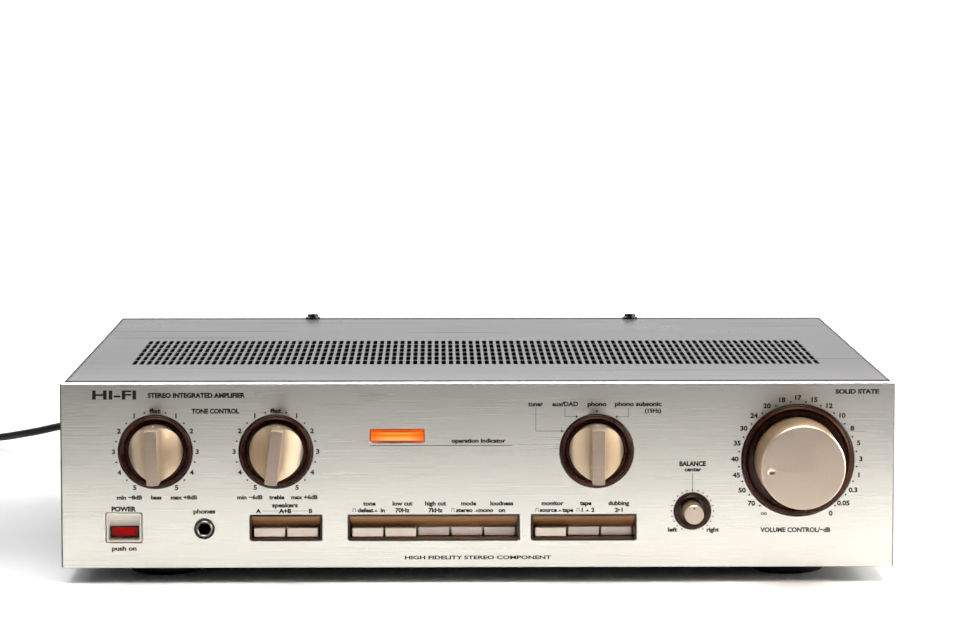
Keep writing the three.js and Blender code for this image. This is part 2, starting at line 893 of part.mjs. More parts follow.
// A flat two-pin plug lying beside the coil, its neck towards the coil.
function plugSolid() {
  const neck = 16;
  const length = 36;
  const half = 17.6;
  const pinLength = 19;
  const pinSpread = 9.3;
  const outline = [
    [-4, 0],
    [4, 0],
    [6.5, neck],
    [half - 4, neck + 5],
    [half, neck + 14],
    [half, neck + length],
    [-half, neck + length],
    [-half, neck + 14],
    [-half + 4, neck + 5],
    [-6.5, neck],
  ];
  const rise = 0.2;
  const body = plate(outline, rise, rise + plugThickness);
  const pins = [-1, 1].map((side) =>
    drum(
      2, neck + length - 1, neck + length + pinLength, side * pinSpread,
      rise + plugThickness / 2, 12,
    ),
  );
  return join(body, ...pins);
}
const plugTurn = 190;
const plug = piece("mains_plug", plugSolid(), "rubber");
plug.position.set(coilX - 34.55, coilY - 30.9, 0);
plug.rotation.z = THREE.MathUtils.degToRad(plugTurn);

// The origin: under the middle of the box round the amplifier, the lead left out.
const frontmost = -volumeReach;
const rearmost = phonoEnd;
amplifier.position.y = -(frontmost + rearmost) / 2;

export default amplifier;
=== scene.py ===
import math
import random

import bmesh
import bpy
from mathutils import Matrix, Vector


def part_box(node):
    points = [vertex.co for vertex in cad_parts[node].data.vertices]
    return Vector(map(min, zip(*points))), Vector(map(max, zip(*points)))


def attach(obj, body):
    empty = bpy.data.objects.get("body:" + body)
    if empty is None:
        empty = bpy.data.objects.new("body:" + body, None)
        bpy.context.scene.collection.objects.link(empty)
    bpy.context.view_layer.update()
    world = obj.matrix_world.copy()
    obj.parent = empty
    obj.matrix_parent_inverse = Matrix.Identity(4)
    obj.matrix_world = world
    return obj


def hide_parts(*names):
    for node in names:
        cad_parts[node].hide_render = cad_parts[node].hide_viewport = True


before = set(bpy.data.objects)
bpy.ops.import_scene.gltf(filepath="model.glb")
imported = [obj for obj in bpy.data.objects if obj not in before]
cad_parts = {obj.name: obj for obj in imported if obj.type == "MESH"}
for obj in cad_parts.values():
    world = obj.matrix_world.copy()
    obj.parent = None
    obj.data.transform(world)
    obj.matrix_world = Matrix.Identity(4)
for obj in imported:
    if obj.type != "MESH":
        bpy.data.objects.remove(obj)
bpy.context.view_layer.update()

# ---- Studio ----
# The amplifier stands on a pale table top, under a narrow soft box over its front, one at each
# side and a wide one over the background. The camera looks at its front from a little above.
MM = 0.001
panel_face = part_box("front_panel")[0].y
panel_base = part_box("front_panel")[0].z


def place(x, y, z):
    """A point given in millimetres from the panel's face, its middle and the table."""
    return Vector((x * MM, panel_face + y * MM, z * MM))


def tone(*levels):
    """A colour from its display levels, 0 to 255, as a shader takes it."""
    return tuple(((v / 255 + 0.055) / 1.055) ** 2.4 if v > 10 else v / 3295 for v in levels)


scene = bpy.context.scene
scene.view_settings.view_transform = "Standard"

camera_height, camera_distance, camera_shift = 308.7, 1792.7, -22.1
camera_tilt, camera_turn = 84.34, -0.739
camera = bpy.data.objects.new("camera", bpy.data.cameras.new("camera"))
camera.location = place(camera_shift, -camera_distance, panel_base / MM + camera_height)
camera.rotation_euler = (math.radians(camera_tilt), 0, math.radians(camera_turn))
camera.data.lens = 129.2
camera.data.sensor_width = 36
camera.data.clip_start = 0.05
scene.collection.objects.link(camera)
scene.camera = camera

floor_reach = 30.0
floor_mesh = bpy.data.meshes.new("table_top")
floor_mesh.from_pydata(
    [(x * floor_reach, y * floor_reach, 0) for x, y in ((-1, -1), (1, -1), (1, 1), (-1, 1))],
    [], [(0, 1, 2, 3)],
)
table_top = bpy.data.objects.new("table_top", floor_mesh)
scene.collection.objects.link(table_top)


def finish(name, colour, roughness, metallic=0.0):
    """A material with its shader."""
    material = bpy.data.materials.new(name)
    material.use_nodes = True
    shader = material.node_tree.nodes["Principled BSDF"]
    shader.inputs["Base Color"].default_value = (*colour, 1)
    shader.inputs["Roughness"].default_value = roughness
    shader.inputs["Metallic"].default_value = metallic
    return material, shader


def node(tree, kind, *links, **values):
    """A node with its settings, fed by pairs of an output socket and an input's name or number."""
    made = tree.nodes.new("ShaderNode" + kind)
    for key, value in values.items():
        if key in made.inputs:
            made.inputs[key].default_value = value
        else:
            setattr(made, key, value)
    for source, label in links:
        tree.links.new(source, made.inputs[label])
    return made


def reckon(tree, operation, first, second=0.0):
    """One step of arithmetic on a node's output, with another output or a number."""
    made = node(tree, "Math", operation=operation)
    for socket, value in zip(made.inputs, (first, second)):
        if isinstance(value, float):
            socket.default_value = value
        else:
            tree.links.new(value, socket)
    return made.outputs[0]


def stretch(tree, value, start, end, low=0.0, high=1.0, smooth=False):
    """Runs the part of a value from start to end over low to high."""
    made = node(
        tree, "MapRange", (value, "Value"),
        **{"From Min": start, "From Max": end, "To Min": low, "To Max": high},
    )
    if smooth:
        made.interpolation_type = "SMOOTHSTEP"
    return made.outputs["Result"]


# The table top is painted dark far in front and pale near the amplifier, a painted falloff of
# light, and far off it fades to white where it is looked at.
dim_end, pale_start, painted_shade_level, painted_light_level = -0.605, -0.345, 0.135, 0.92
fade_start, fade_end = 0.55, 1.15
paper, paper_shader = finish("white_paper", (1, 1, 1), 0.6)
paper_tree = paper.node_tree
paper_place = node(paper_tree, "TexCoord").outputs["Object"]
paper_parts = node(paper_tree, "SeparateXYZ", (paper_place, "Vector"))
# The painted falloff of light: the base colour runs from dark far in front to pale near the amplifier.
painted_light_falloff = stretch(
    paper_tree, paper_parts.outputs["Y"], dim_end, pale_start, painted_shade_level, painted_light_level, smooth=True,
)
paper_tree.links.new(painted_light_falloff, paper_shader.inputs["Base Color"])
distance = node(paper_tree, "VectorMath", (paper_place, "Vector"), operation="LENGTH")
fade = stretch(paper_tree, distance.outputs["Value"], fade_start, fade_end, smooth=True)
looked_at = node(paper_tree, "LightPath").outputs["Is Camera Ray"]
glow = reckon(paper_tree, "MULTIPLY", fade, looked_at)
paper_tree.links.new(glow, paper_shader.inputs["Emission Strength"])
paper_shader.inputs["Emission Color"].default_value = (1, 1, 1, 1)
floor_mesh.materials.append(paper)

# The surroundings are dark in front and at the sides, and bright in a patch straight behind.
sky_front, sky_back = 0.02, 1.02
patch_edge, patch_full = 0.955, 0.985
world = bpy.data.worlds.new("studio")
world.use_nodes = True
sky_tree = world.node_tree
sky = sky_tree.nodes["Background"]
sky.inputs["Color"].default_value = (1, 1, 1, 1)
bearing = node(sky_tree, "TexCoord").outputs["Generated"]
bearing_parts = node(sky_tree, "SeparateXYZ", (bearing, "Vector"))
brightness = stretch(
    sky_tree, bearing_parts.outputs["Y"], patch_edge, patch_full, sky_front, sky_back,
)
looked_at = node(sky_tree, "LightPath").outputs["Is Camera Ray"]
sky_tree.links.new(reckon(sky_tree, "MAXIMUM", brightness, looked_at), sky.inputs["Strength"])
scene.world = world


def lamp(name, spot, aim, width, height, watts, colour=(1, 1, 1), spread=180):
    """A soft box at one point, turned to shine at another."""
    light = bpy.data.lights.new(name, "AREA")
    light.shape = "RECTANGLE"
    light.size, light.size_y = width, height
    light.energy = watts
    light.color = colour
    light.spread = math.radians(spread)
    holder = bpy.data.objects.new(name, light)
    holder.location = place(*spot)
    holder.rotation_euler = (place(*aim) - holder.location).to_track_quat("-Z", "Y").to_euler()
    scene.collection.objects.link(holder)
    return holder


lamp("soft_box_near", (95, -70, 420), (95, -170, 0), 0.9, 0.13, 1.95, spread=76)
lamp("soft_box_right", (1500, -150, 520), (0, 0, 60), 0.9, 0.9, 38, (1, 0.97, 0.92))
lamp("soft_box_left", (-1500, -150, 520), (0, 0, 60), 0.9, 0.9, 3.5)
lamp("background_wash", (0, 1500, 1300), (0, 1350, 0), 4.4, 1.2, 88)


# ---- Mains lead ----
# A black rubber-sheathed lead comes out of a ribbed, tapering strain relief in the back, runs down
# to the table and to the left, and its spare length lies in a neat coil beside its two-pin plug.
def limits(node):
    """A frame node's lowest and highest corner, in millimetres as place() takes them."""
    return [
        Vector((corner.x / MM, (corner.y - panel_face) / MM, corner.z / MM))
        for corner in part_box(node)
    ]


def middle(node):
    """The middle of a frame node's box."""
    low, high = limits(node)
    return (low + high) / 2


def skin(bm, outlines, looped=False):
    """Skins a run of outlines with equal counts of points, and closes both ends or joins them."""
    rows = [[bm.verts.new(point) for point in outline] for outline in outlines]
    count = len(rows[0])
    pairs = list(zip(rows, rows[1:]))
    if looped:
        pairs.append((rows[-1], rows[0]))
    sides = []
    for near, far in pairs:
        for i in range(count):
            j = (i + 1) % count
            sides.append(bm.faces.new((near[i], near[j], far[j], far[i])))
    if not looped:
        bm.faces.new(rows[0])
        bm.faces.new(rows[-1])
    return sides


def softened(points, radius, closed=False, steps=4):
    """A run of flat points with each corner rounded, by less where its sides are short."""
    soft = []
    flat = [Vector(point) for point in points]
    for i, corner in enumerate(flat):
        if not closed and i in (0, len(flat) - 1):
            soft.append(corner)
            continue
        before, after = flat[i - 1] - corner, flat[(i + 1) % len(flat)] - corner
        start = corner + before.normalized() * min(radius, 0.45 * before.length)
        end = corner + after.normalized() * min(radius, 0.45 * after.length)
        for step in range(steps + 1):
            t = step / steps
            soft.append(start * (1 - t) ** 2 + corner * 2 * t * (1 - t) + end * t ** 2)
    return soft


def turned(bm, profile, x, z, segments=96, looped=False):
    """A piece turned about a line from front to back, from pairs of radius and depth."""
    outlines = []
    for radius, depth in profile:
        turn = [2 * math.pi * k / segments for k in range(segments)]
        outlines.append(
            [Vector((x + radius * math.cos(a), depth, z + radius * math.sin(a))) for a in turn]
        )
    return skin(bm, outlines, looped)


def panel_outline(x, y, z, width, height, corner, steps=3):
    """A rectangle with rounded corners, seen from the front, at one depth."""
    w, h = width / 2, height / 2
    square = [(w, -h), (w, h), (-w, h), (-w, -h)]
    return [Vector((x + u, y, z + v)) for u, v in softened(square, corner, True, steps)]


def block(bm, low, high, corner=0.5):
    """A block with rounded long edges, from its lowest to its highest corner."""
    size = Vector(high) - Vector(low)
    x, z = (low[0] + high[0]) / 2, (low[2] + high[2]) / 2
    skin(bm, [panel_outline(x, y, z, size.x, size.z, corner) for y in (low[1], high[1])])


def piece(name, bm, finishes, stands_for=(), body="amplifier", bevel=0, crease=32):
    """Puts a finished mesh into the frame, with soft edges, its finishes and its body."""
    tiny = 0.002
    bmesh.ops.remove_doubles(bm, verts=bm.verts, dist=tiny)
    bmesh.ops.dissolve_degenerate(bm, edges=bm.edges, dist=tiny)
    bmesh.ops.recalc_face_normals(bm, faces=bm.faces)
    bm.transform(Matrix.Translation((0, panel_face, 0)) @ Matrix.Diagonal((MM, MM, MM, 1)))
    mesh = bpy.data.meshes.new(name)
    bm.to_mesh(mesh)
    bm.free()
    mesh.shade_smooth()
    mesh.set_sharp_from_angle(angle=math.radians(crease))
    for material in finishes if isinstance(finishes, list) else [finishes]:
        mesh.materials.append(material)
    made = bpy.data.objects.new(name, mesh)
    scene.collection.objects.link(made)
    if bevel:
        rounding = made.modifiers.new("rounding", "BEVEL")
        rounding.width = bevel * MM
        rounding.segments = 3
        rounding.limit_method = "ANGLE"
        rounding.angle_limit = math.radians(crease)
        rounding.use_clamp_overlap = True
    shading = made.modifiers.new("shading", "WEIGHTED_NORMAL")
    shading.keep_sharp = True
    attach(made, body)
    if stands_for:
        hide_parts(*stands_for)
    return made


def effect(name, inputs, outputs):
    """An empty node group with number inputs and number outputs."""
    group = bpy.data.node_groups.new(name, "ShaderNodeTree")
    for label, usual in inputs.items():
        socket = group.interface.new_socket(label, in_out="INPUT", socket_type="NodeSocketFloat")
        socket.default_value = usual
    for label in outputs:
        group.interface.new_socket(label, in_out="OUTPUT", socket_type="NodeSocketFloat")
    return group, group.nodes.new("NodeGroupInput"), group.nodes.new("NodeGroupOutput")


def make_mould_marks():
    """Moulded rubber or plastic: a cloudy shade and a fine pebbled height."""
    group, given, put = effect("mould_marks", {"Cloud": 60, "Pebble": 2400}, ["Shade", "Height"])
    where = node(group, "TexCoord").outputs["Object"]
    cloud = node(group, "TexNoise", (where, "Vector"), (given.outputs["Cloud"], "Scale"), Detail=4)
    pebble = node(
        group, "TexNoise", (where, "Vector"), (given.outputs["Pebble"], "Scale"), Detail=2,
    )
    group.links.new(cloud.outputs["Fac"], put.inputs["Shade"])
    group.links.new(pebble.outputs["Fac"], put.inputs["Height"])
    return group


mould_marks = make_mould_marks()


def apply(material, group, **values):
    """Places an effect in a material with that material's own values."""
    tree = material.node_tree
    made = tree.nodes.new("ShaderNodeGroup")
    made.node_tree = group
    for label, value in values.items():
        made.inputs[label].default_value = value
    return made.outputs


def shade(material, mask, light, dark, low=0.3, high=0.7, label="Base Color"):
    """Lets a mask run a colour or a number of the shader from one value to another."""
    tree = material.node_tree
    shader = tree.nodes["Principled BSDF"]
    if label != "Base Color":
        result = stretch(tree, mask, low, high, dark, light)
        tree.links.new(result, shader.inputs[label])
        return result
    mix = node(tree, "Mix", (stretch(tree, mask, low, high), "Factor"), data_type="RGBA")
    mix.inputs[6].default_value = (*dark, 1)
    mix.inputs[7].default_value = (*light, 1)
    tree.links.new(mix.outputs[2], shader.inputs[label])
    return mix.outputs[2]


def relief(material, height, strength, distance):
    """Bumps a surface by a height."""
    tree = material.node_tree
    bump = node(tree, "Bump", (height, "Height"), Strength=strength, Distance=distance * MM)
    tree.links.new(bump.outputs["Normal"], tree.nodes["Principled BSDF"].inputs["Normal"])


def moulded(name, light, dark, rough, cloud, pebble=2400, bump=None, metallic=0.0, specular=0.5):
    """A moulded or sprayed finish: a cloudy tone, one roughness or a range of it, and pebbling."""
    material, shader = finish(name, light, rough if isinstance(rough, float) else rough[0], metallic)
    shader.inputs["Specular IOR Level"].default_value = specular
    marks = apply(material, mould_marks, Cloud=cloud, Pebble=pebble)
    shade(material, marks["Shade"], light, dark)
    if not isinstance(rough, float):
        shade(material, marks["Shade"], *rough, label="Roughness")
    if bump:
        relief(material, marks["Height"], *bump)
    return material


rubber = moulded(
    "black_rubber", tone(20, 19, 19), tone(9, 9, 9), (0.62, 0.45), 60, 2400, (0.25, 0.05),
    specular=0.15,
)
plug_plastic = moulded(
    "plug_plastic", tone(30, 30, 31), tone(18, 18, 18), (0.48, 0.34), 90, 3200, (0.3, 0.06),
)

# The lead's route in millimetres: out of the case, down to the table, and to where it is wound.
cord_radius = 2.5
cord_route = [
    (-188, 373.8, 40), (-188, 383, 40), (-188.6, 392, 39.8), (-191, 404, 39.3), (-197, 417, 38.2),
    (-207, 430, 36.2), (-221, 442, 33.4), (-237, 452.5, 30), (-254, 462, 26.2),
    (-270.5, 472, 22), (-285, 483.5, 17.6), (-297.5, 497, 13.8), (-308, 511.5, 10.4),
    (-318, 526.5, 7.4), (-328.5, 541, 5), (-339.5, 556, 3.3), (-350.5, 570, 2.7),
]
coil_middle = middle("cord_coil")
coil_outer = 39.4
turn_pitch = 5.08
turns = 4
turn_points = 16
coil_start, coil_end = 39.3, 190.0
bottom_layer, top_layer = 2.6, 7.68


def coil_point(angle, radius, height):
    """A point of the coil, at an angle round its middle."""
    turn = math.radians(angle)
    return (
        coil_middle.x + radius * math.cos(turn), coil_middle.y + radius * math.sin(turn), height,
    )


def coil_route():
    """Inward on the table, up at the middle, and outward again on top of the first layer."""
    step = 360 / turn_points
    inner = coil_outer - turns * turn_pitch
    points = []
    for k in range(turns * turn_points + 1):
        points.append(
            coil_point(coil_start + k * step, coil_outer - turn_pitch * k / turn_points, bottom_layer)
        )
    climb = coil_end - coil_start
    climb_steps = 7
    for k in range(1, climb_steps):
        part = k / climb_steps
        rise = part * part * (3 - 2 * part)
        height = bottom_layer + (top_layer - bottom_layer) * rise
        points.append(coil_point(coil_start + climb * part, inner, height))
    for k in range(turns * turn_points + 1):
        points.append(
            coil_point(coil_end + k * step, inner + turn_pitch * k / turn_points, top_layer)
        )
    return points


plug_gap, plug_thick = 0.2, 14
plug_neck = Vector((coil_middle.x - 34.55, coil_middle.y - 30.9, plug_gap + plug_thick / 2))
tail, run_in = 6, 12
end_angle = math.radians(coil_end)
heading = Vector((-math.sin(end_angle), math.cos(end_angle), 0))
lead_in = [plug_neck - heading * run_in + Vector((0, 0, 0.2)), plug_neck + heading * tail]
lead_points = cord_route + coil_route() + [tuple(point) for point in lead_in]
lead_curve = bpy.data.curves.new("mains_lead", "CURVE")
lead_curve.dimensions = "3D"
lead_curve.bevel_depth = cord_radius * MM
lead_curve.bevel_resolution = 5
lead_curve.resolution_u = 6
lead_curve.use_fill_caps = True
run = lead_curve.splines.new("BEZIER")
run.bezier_points.add(len(lead_points) - 1)
for knot, point in zip(run.bezier_points, lead_points):
    knot.co = place(*point)
    knot.handle_left_type = knot.handle_right_type = "AUTO"
lead_curve.materials.append(rubber)
mains_lead = bpy.data.objects.new("mains_lead", lead_curve)
scene.collection.objects.link(mains_lead)
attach(mains_lead, "amplifier")
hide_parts("power_cord", "cord_coil")

# The strain relief: a flange inside the sheet, a collar outside it, and six narrowing ribs.
relief_low, relief_high = limits("strain_relief")
relief_spot = middle("strain_relief")
rear_face = limits("rear_panel")[1].y
tip_radius = cord_radius + 0.9
neck_radius = 4.5
rib_count = 6
collar_end = rear_face + 5.3
rib_pitch = (relief_high.y - 2 - collar_end) / rib_count
profile = [(0, relief_low.y), (neck_radius, relief_low.y), (neck_radius, rear_face + 0.3)]
profile += [(neck_radius + 1.9, rear_face + 0.4), (neck_radius + 1.7, collar_end - 1)]
for rib in range(rib_count):
    share = rib / rib_count
    outer = neck_radius + 0.6 + (tip_radius - neck_radius - 0.6) * share
    start = collar_end + rib * rib_pitch
    profile += [(outer, start), (outer, start + rib_pitch * 0.62)]
    profile += [(outer - 1.1, start + rib_pitch * 0.66), (outer - 1.1, start + rib_pitch * 0.96)]
profile += [(tip_radius, relief_high.y - 2), (tip_radius - 0.3, relief_high.y), (0, relief_high.y)]
shape = bmesh.new()
turned(shape, softened(profile, 0.35), relief_spot.x, relief_spot.z, 40)
strain_boot = piece("strain_relief_boot", shape, rubber, ["strain_relief"])

pin_finish = moulded(
    "plated_pin", tone(214, 210, 202), tone(188, 184, 176), (0.3, 0.16), 200, metallic=1.0,
)

plug_turn = Matrix.Translation((plug_neck.x, plug_neck.y, 0)) @ Matrix.Rotation(
    math.radians(coil_end), 4, "Z"
)
# Distance along the plug from its neck, width and thickness.
plug_sections = [
    (0, 7.2, 7.2), (2, 8, 8), (4.2, 8.4, 8.4), (4.6, 7, 7), (6.2, 7.2, 7.2), (6.6, 9.4, 9),
    (9, 10, 9.4), (9.4, 8, 8), (11, 8.4, 8.4), (11.4, 11.4, 10), (15, 13, 11), (18, 20, 12.6),
    (21, 27, 13.4), (25, 32, 14), (30, 35, 14), (33, 35.2, 13.2), (36, 34, 12.4), (40, 34, 12.4),
    (43, 35, 13.4), (46, 35.2, 14), (51, 35.2, 14), (52, 33.6, 12.6),
]
shape = bmesh.new()
skin(
    shape,
    [
        panel_outline(0, along, plug_thick / 2 + plug_gap, wide, thick, min(wide, thick) * 0.42, 5)
        for along, wide, thick in plug_sections
    ],
)
shape.transform(plug_turn)
plug_body = piece("plug_body", shape, plug_plastic, ["mains_plug"])
pin_spread = 9.3
pin_radius = 2
pin_end = 71
shape = bmesh.new()
for side in (-1, 1):
    pin = [(0, 51), (pin_radius, 51), (pin_radius, pin_end - 1.5), (0.7, pin_end), (0, pin_end)]
    turned(shape, softened(pin, 0.8), side * pin_spread, plug_thick / 2 + plug_gap, 32)
shape.transform(plug_turn)
plug_pins = piece("plug_pins", shape, pin_finish)


# ---- Chassis ----
# A pan and a sub-chassis of steel sheet carry everything: the sub-chassis zinc-plated, the pan
# painted dark as painted shade under the front. The pan's side walls are short, and round
# moulded feet with a soft ring under them are screwed to it.
def make_spangle():
    """Zinc plating: faint patches of crystal with a slow change of tone between them."""
    group, given, put = effect("zinc_spangle", {"Patch": 130}, ["Shade", "Cloud"])
    where = node(group, "TexCoord").outputs["Object"]
    patches = node(
        group, "TexVoronoi", (where, "Vector"), (given.outputs["Patch"], "Scale"), Randomness=1,
    )
    cloud = node(group, "TexNoise", (where, "Vector"), Scale=40, Detail=4)
    grey = node(group, "RGBToBW", (patches.outputs["Color"], "Color"))
    group.links.new(grey.outputs["Val"], put.inputs["Shade"])
    group.links.new(cloud.outputs["Fac"], put.inputs["Cloud"])
    return group


spangle = make_spangle()
zinc, _ = finish("zinc_plate", tone(176, 178, 178), 0.34, 1.0)
marks = apply(zinc, spangle)
shade(zinc, marks["Shade"], tone(190, 192, 192), tone(166, 168, 170), 0.1, 0.9)
shade(zinc, marks["Cloud"], 0.42, 0.28, label="Roughness")

black_mould = moulded(
    "black_moulding", tone(30, 29, 29), tone(16, 16, 16), (0.5, 0.36), 90, 2600, (0.25, 0.05),
)


def keep(node_name, *finishes):
    """Gives a frame node that stays in sight its finishes."""
    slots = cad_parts[node_name].material_slots
    for slot, material in zip(slots, finishes):
        slot.material = material


dark_enamel_and_shade = moulded(
    "dark_enamel_and_shade", tone(66, 66, 68), tone(50, 50, 52), (0.48, 0.36), 18, 1300, (0.2, 0.05),
)
# The pan is painted dark, as painted shade under the front; the rear panel's dark grey paint is its own.
keep("chassis_base", dark_enamel_and_shade)
keep("front_subchassis", zinc)


def standing(bm, profile, x, y, segments=48, looped=False):
    """A piece turned about an upright line, from pairs of radius and height."""
    outlines = []
    for radius, height in profile:
        turn = [2 * math.pi * k / segments for k in range(segments)]
        outlines.append([(x + radius * math.cos(a), y + radius * math.sin(a), height) for a in turn])
    return skin(bm, outlines, looped)


for place_name in ("front_left", "front_right", "rear_left", "rear_right"):
    low, high = limits(f"foot_{place_name}")
    spot = middle(f"foot_{place_name}")
    radius = (high.x - low.x) / 2
    screw_well, pad = 5.5, 2.6
    foot = [
        (0, high.z), (radius, high.z), (radius, low.z + 2.2), (radius - 1.6, low.z + 0.5),
        (radius - 3, low.z), (radius - 6.5, low.z), (radius - 7, low.z + pad),
        (screw_well + 1, low.z + pad), (screw_well, low.z + pad + 0.6), (screw_well, high.z - 2),
        (0, high.z - 2),
    ]
    shape = bmesh.new()
    standing(shape, softened(foot, 0.5), spot.x, spot.y, 72)
    piece(f"foot_{place_name}_turned", shape, rubber, [f"foot_{place_name}"])


# ---- Front panel ----
# A 4 mm aluminium plate, brushed along its length and clear anodised, with a bevel milled along
# its top and ends. The top bevel is bright; the end faces and their bevels are painted dark, as
# painted shade. The holes for rings, banks, jack and indicator have a bright rim.
def make_brushed_lines():
    """Brushed metal: fine lines along X in two widths, and a slow cloudiness along them."""
    group, given, put = effect(
        "brushed_lines", {"Along": 14, "Across": 1500}, ["Lines", "Cloud"]
    )
    where = node(group, "TexCoord").outputs["Object"]
    scale = node(
        group, "CombineXYZ", (given.outputs["Along"], "X"), (given.outputs["Across"], "Y"),
        (given.outputs["Across"], "Z"),
    )
    drawn_out = node(
        group, "VectorMath", (where, 0), (scale.outputs["Vector"], 1), operation="MULTIPLY",
    )
    vector = drawn_out.outputs["Vector"]
    lines = node(group, "TexNoise", (vector, "Vector"), Scale=1, Detail=3, Roughness=0.6)
    cloud = node(group, "TexNoise", (vector, "Vector"), Scale=0.12, Detail=2)
    group.links.new(lines.outputs["Fac"], put.inputs["Lines"])
    group.links.new(cloud.outputs["Fac"], put.inputs["Cloud"])
    return group


brushed_lines = make_brushed_lines()


def brush(material, turn):
    """Spreads a metal's highlights across its brushed lines."""
    tree = material.node_tree
    shader = tree.nodes["Principled BSDF"]
    shader.inputs["Anisotropic"].default_value = 0.7
    shader.inputs["Anisotropic Rotation"].default_value = turn
    tangent = node(tree, "Tangent", direction_type="RADIAL", axis="Z")
    tree.links.new(tangent.outputs["Tangent"], shader.inputs["Tangent"])


def lined(name, light, dark, rough, along, across, metallic=1.0):
    """A metal or metallised finish: two tones in its fine lines, and a range of roughness."""
    material, _ = finish(name, light, rough[0], metallic)
    marks = apply(material, brushed_lines, Along=along, Across=across)
    shade(material, marks["Lines"], light, dark)
    shade(material, marks["Cloud"], *rough, label="Roughness")
    return material


brushed, _ = finish("brushed_aluminium", tone(214, 211, 202), 0.27, 1.0)
marks = apply(brushed, brushed_lines, Along=12, Across=2600)
shade(brushed, marks["Lines"], tone(212, 209, 200), tone(210, 207, 198), 0.3, 0.7)
shade(brushed, marks["Lines"], 0.278, 0.273, label="Roughness")
relief(brushed, marks["Lines"], 0.004, 0.02)
brush(brushed, 0.25)

bright_cut = lined("bright_cut", tone(210, 208, 202), tone(196, 194, 186), (0.36, 0.26), 30, 900)
# A dark finish for the plate's end faces and end bevels: painted shade.
painted_end_shade = lined("painted_end_shade", tone(98, 96, 92), tone(84, 82, 78), (0.6, 0.45), 30, 900, metallic=0.9)


def stock(bm):
    """A closed mesh as a scratch object."""
    bmesh.ops.remove_doubles(bm, verts=bm.verts, dist=0.001)
    bmesh.ops.recalc_face_normals(bm, faces=bm.faces)
    mesh = bpy.data.meshes.new("stock")
    bm.to_mesh(mesh)
    bm.free()
    held = bpy.data.objects.new("stock", mesh)
    scene.collection.objects.link(held)
    return held


def carve(body, tool, operation="DIFFERENCE"):
    """Cuts one closed mesh by another, joins them, or keeps what they share."""
    held, knife = stock(body), stock(tool)
    cut = held.modifiers.new("cut", "BOOLEAN")
    cut.operation, cut.solver, cut.object = operation, "MANIFOLD", knife
    made = held.evaluated_get(bpy.context.evaluated_depsgraph_get())
    shaped = bmesh.new()
    shaped.from_mesh(made.to_mesh())
    made.to_mesh_clear()
    for spare in (held, knife):
        mesh = spare.data
        bpy.data.objects.remove(spare)
        bpy.data.meshes.remove(mesh)
    return shaped


def panel_rectangle(y, left, right, bottom, top, corner):
    """A rounded rectangle in the panel's plane, from its sides."""
    return panel_outline((left + right) / 2, y, (bottom + top) / 2, right - left, top - bottom, corner)


panel_low, panel_high = limits("front_panel")
panel_depth = panel_high.y
bevel = 0.8
hole_rim = 0.35
fit = 0.3
left, right, bottom, top = panel_low.x, panel_high.x, panel_low.z, panel_high.z
plate = bmesh.new()
plate_sections = [
    (0, bevel, bevel, 0.3), (bevel * 0.45, bevel * 0.42, bevel * 0.42, 0.06), (bevel, 0, 0, 0),
    (panel_depth, 0, 0, 0),
]
sides = skin(
    plate,
    [
        panel_rectangle(y, left + end, right - end, bottom + foot, top - head, 0.35)
        for y, end, head, foot in plate_sections
    ],
)
per_row = len(sides) // (len(plate_sections) - 1)
for face in sides[: 2 * per_row]:
    face.material_index = 1
plate.normal_update()
# Faces turned to the sides, the plate's ends and their bevels, take the dark finish of painted shade.
for face in sides:
    if abs(face.normal.x) > 0.6:
        face.material_index = 2

RINGS = ("bass", "treble", "selector", "volume", "balance")
BANKS = {
    "speaker": ("speaker_a", "speaker_b"),
    "function": ("tone", "low_cut", "high_cut", "mode", "loudness"),
    "tape": ("monitor", "tape", "dubbing"),
}
holes = bmesh.new()


def round_hole(x, z, radius):
    """Adds a round hole with a bright rim to the holes."""
    mouth = radius + hole_rim
    edge = [(0, -1), (mouth, -1), (mouth, 0), (radius, hole_rim), (radius, 5), (0, 5)]
    turned(holes, edge, x, z, 128)


def square_hole(low, high, corner=0.5):
    """Adds a rectangular hole with a bright rim to the holes."""
    outlines = []
    for y, rim in ((-1, hole_rim), (0, hole_rim), (hole_rim, 0), (5, 0)):
        side = fit + rim
        outlines.append(
            panel_rectangle(y, low.x - side, high.x + side, low.z - side, high.z + side, corner)
        )
    skin(holes, outlines)


for name in RINGS:
    low, high = limits(f"{name}_ring")
    centre = middle(f"{name}_ring")
    round_hole(centre.x, centre.z, (high.x - low.x) / 2 + fit)
for name in BANKS:
    square_hole(*limits(f"{name}_bezel"))
square_hole(*limits("power_bezel"), corner=0.8)
jack = middle("headphone_jack")
jack_radius = 4.35
round_hole(jack.x, jack.z, jack_radius + fit)
square_hole(*limits("indicator_lens"), corner=0.6)
for face in holes.faces:
    face.material_index = 1
panel_mesh = carve(plate, holes)
piece(
    "front_panel_plate", panel_mesh, [brushed, bright_cut, painted_end_shade],
    ["front_panel"],
)


# ---- Legends ----
# Plain black lettering silk-screened on the panel: what each control is, its numbers and dots,
# and thin rules that lead from words to the knobs.
ink = moulded("black_ink", tone(28, 27, 25), tone(14, 13, 12), (0.8, 0.6), 500, specular=0.2)
ink_front, ink_back = -0.03, 0.02
print_sheet = bmesh.new()
up_the_panel = Matrix(((1, 0, 0, 0), (0, 0, -1, 0), (0, 1, 0, 0), (0, 0, 0, 1)))


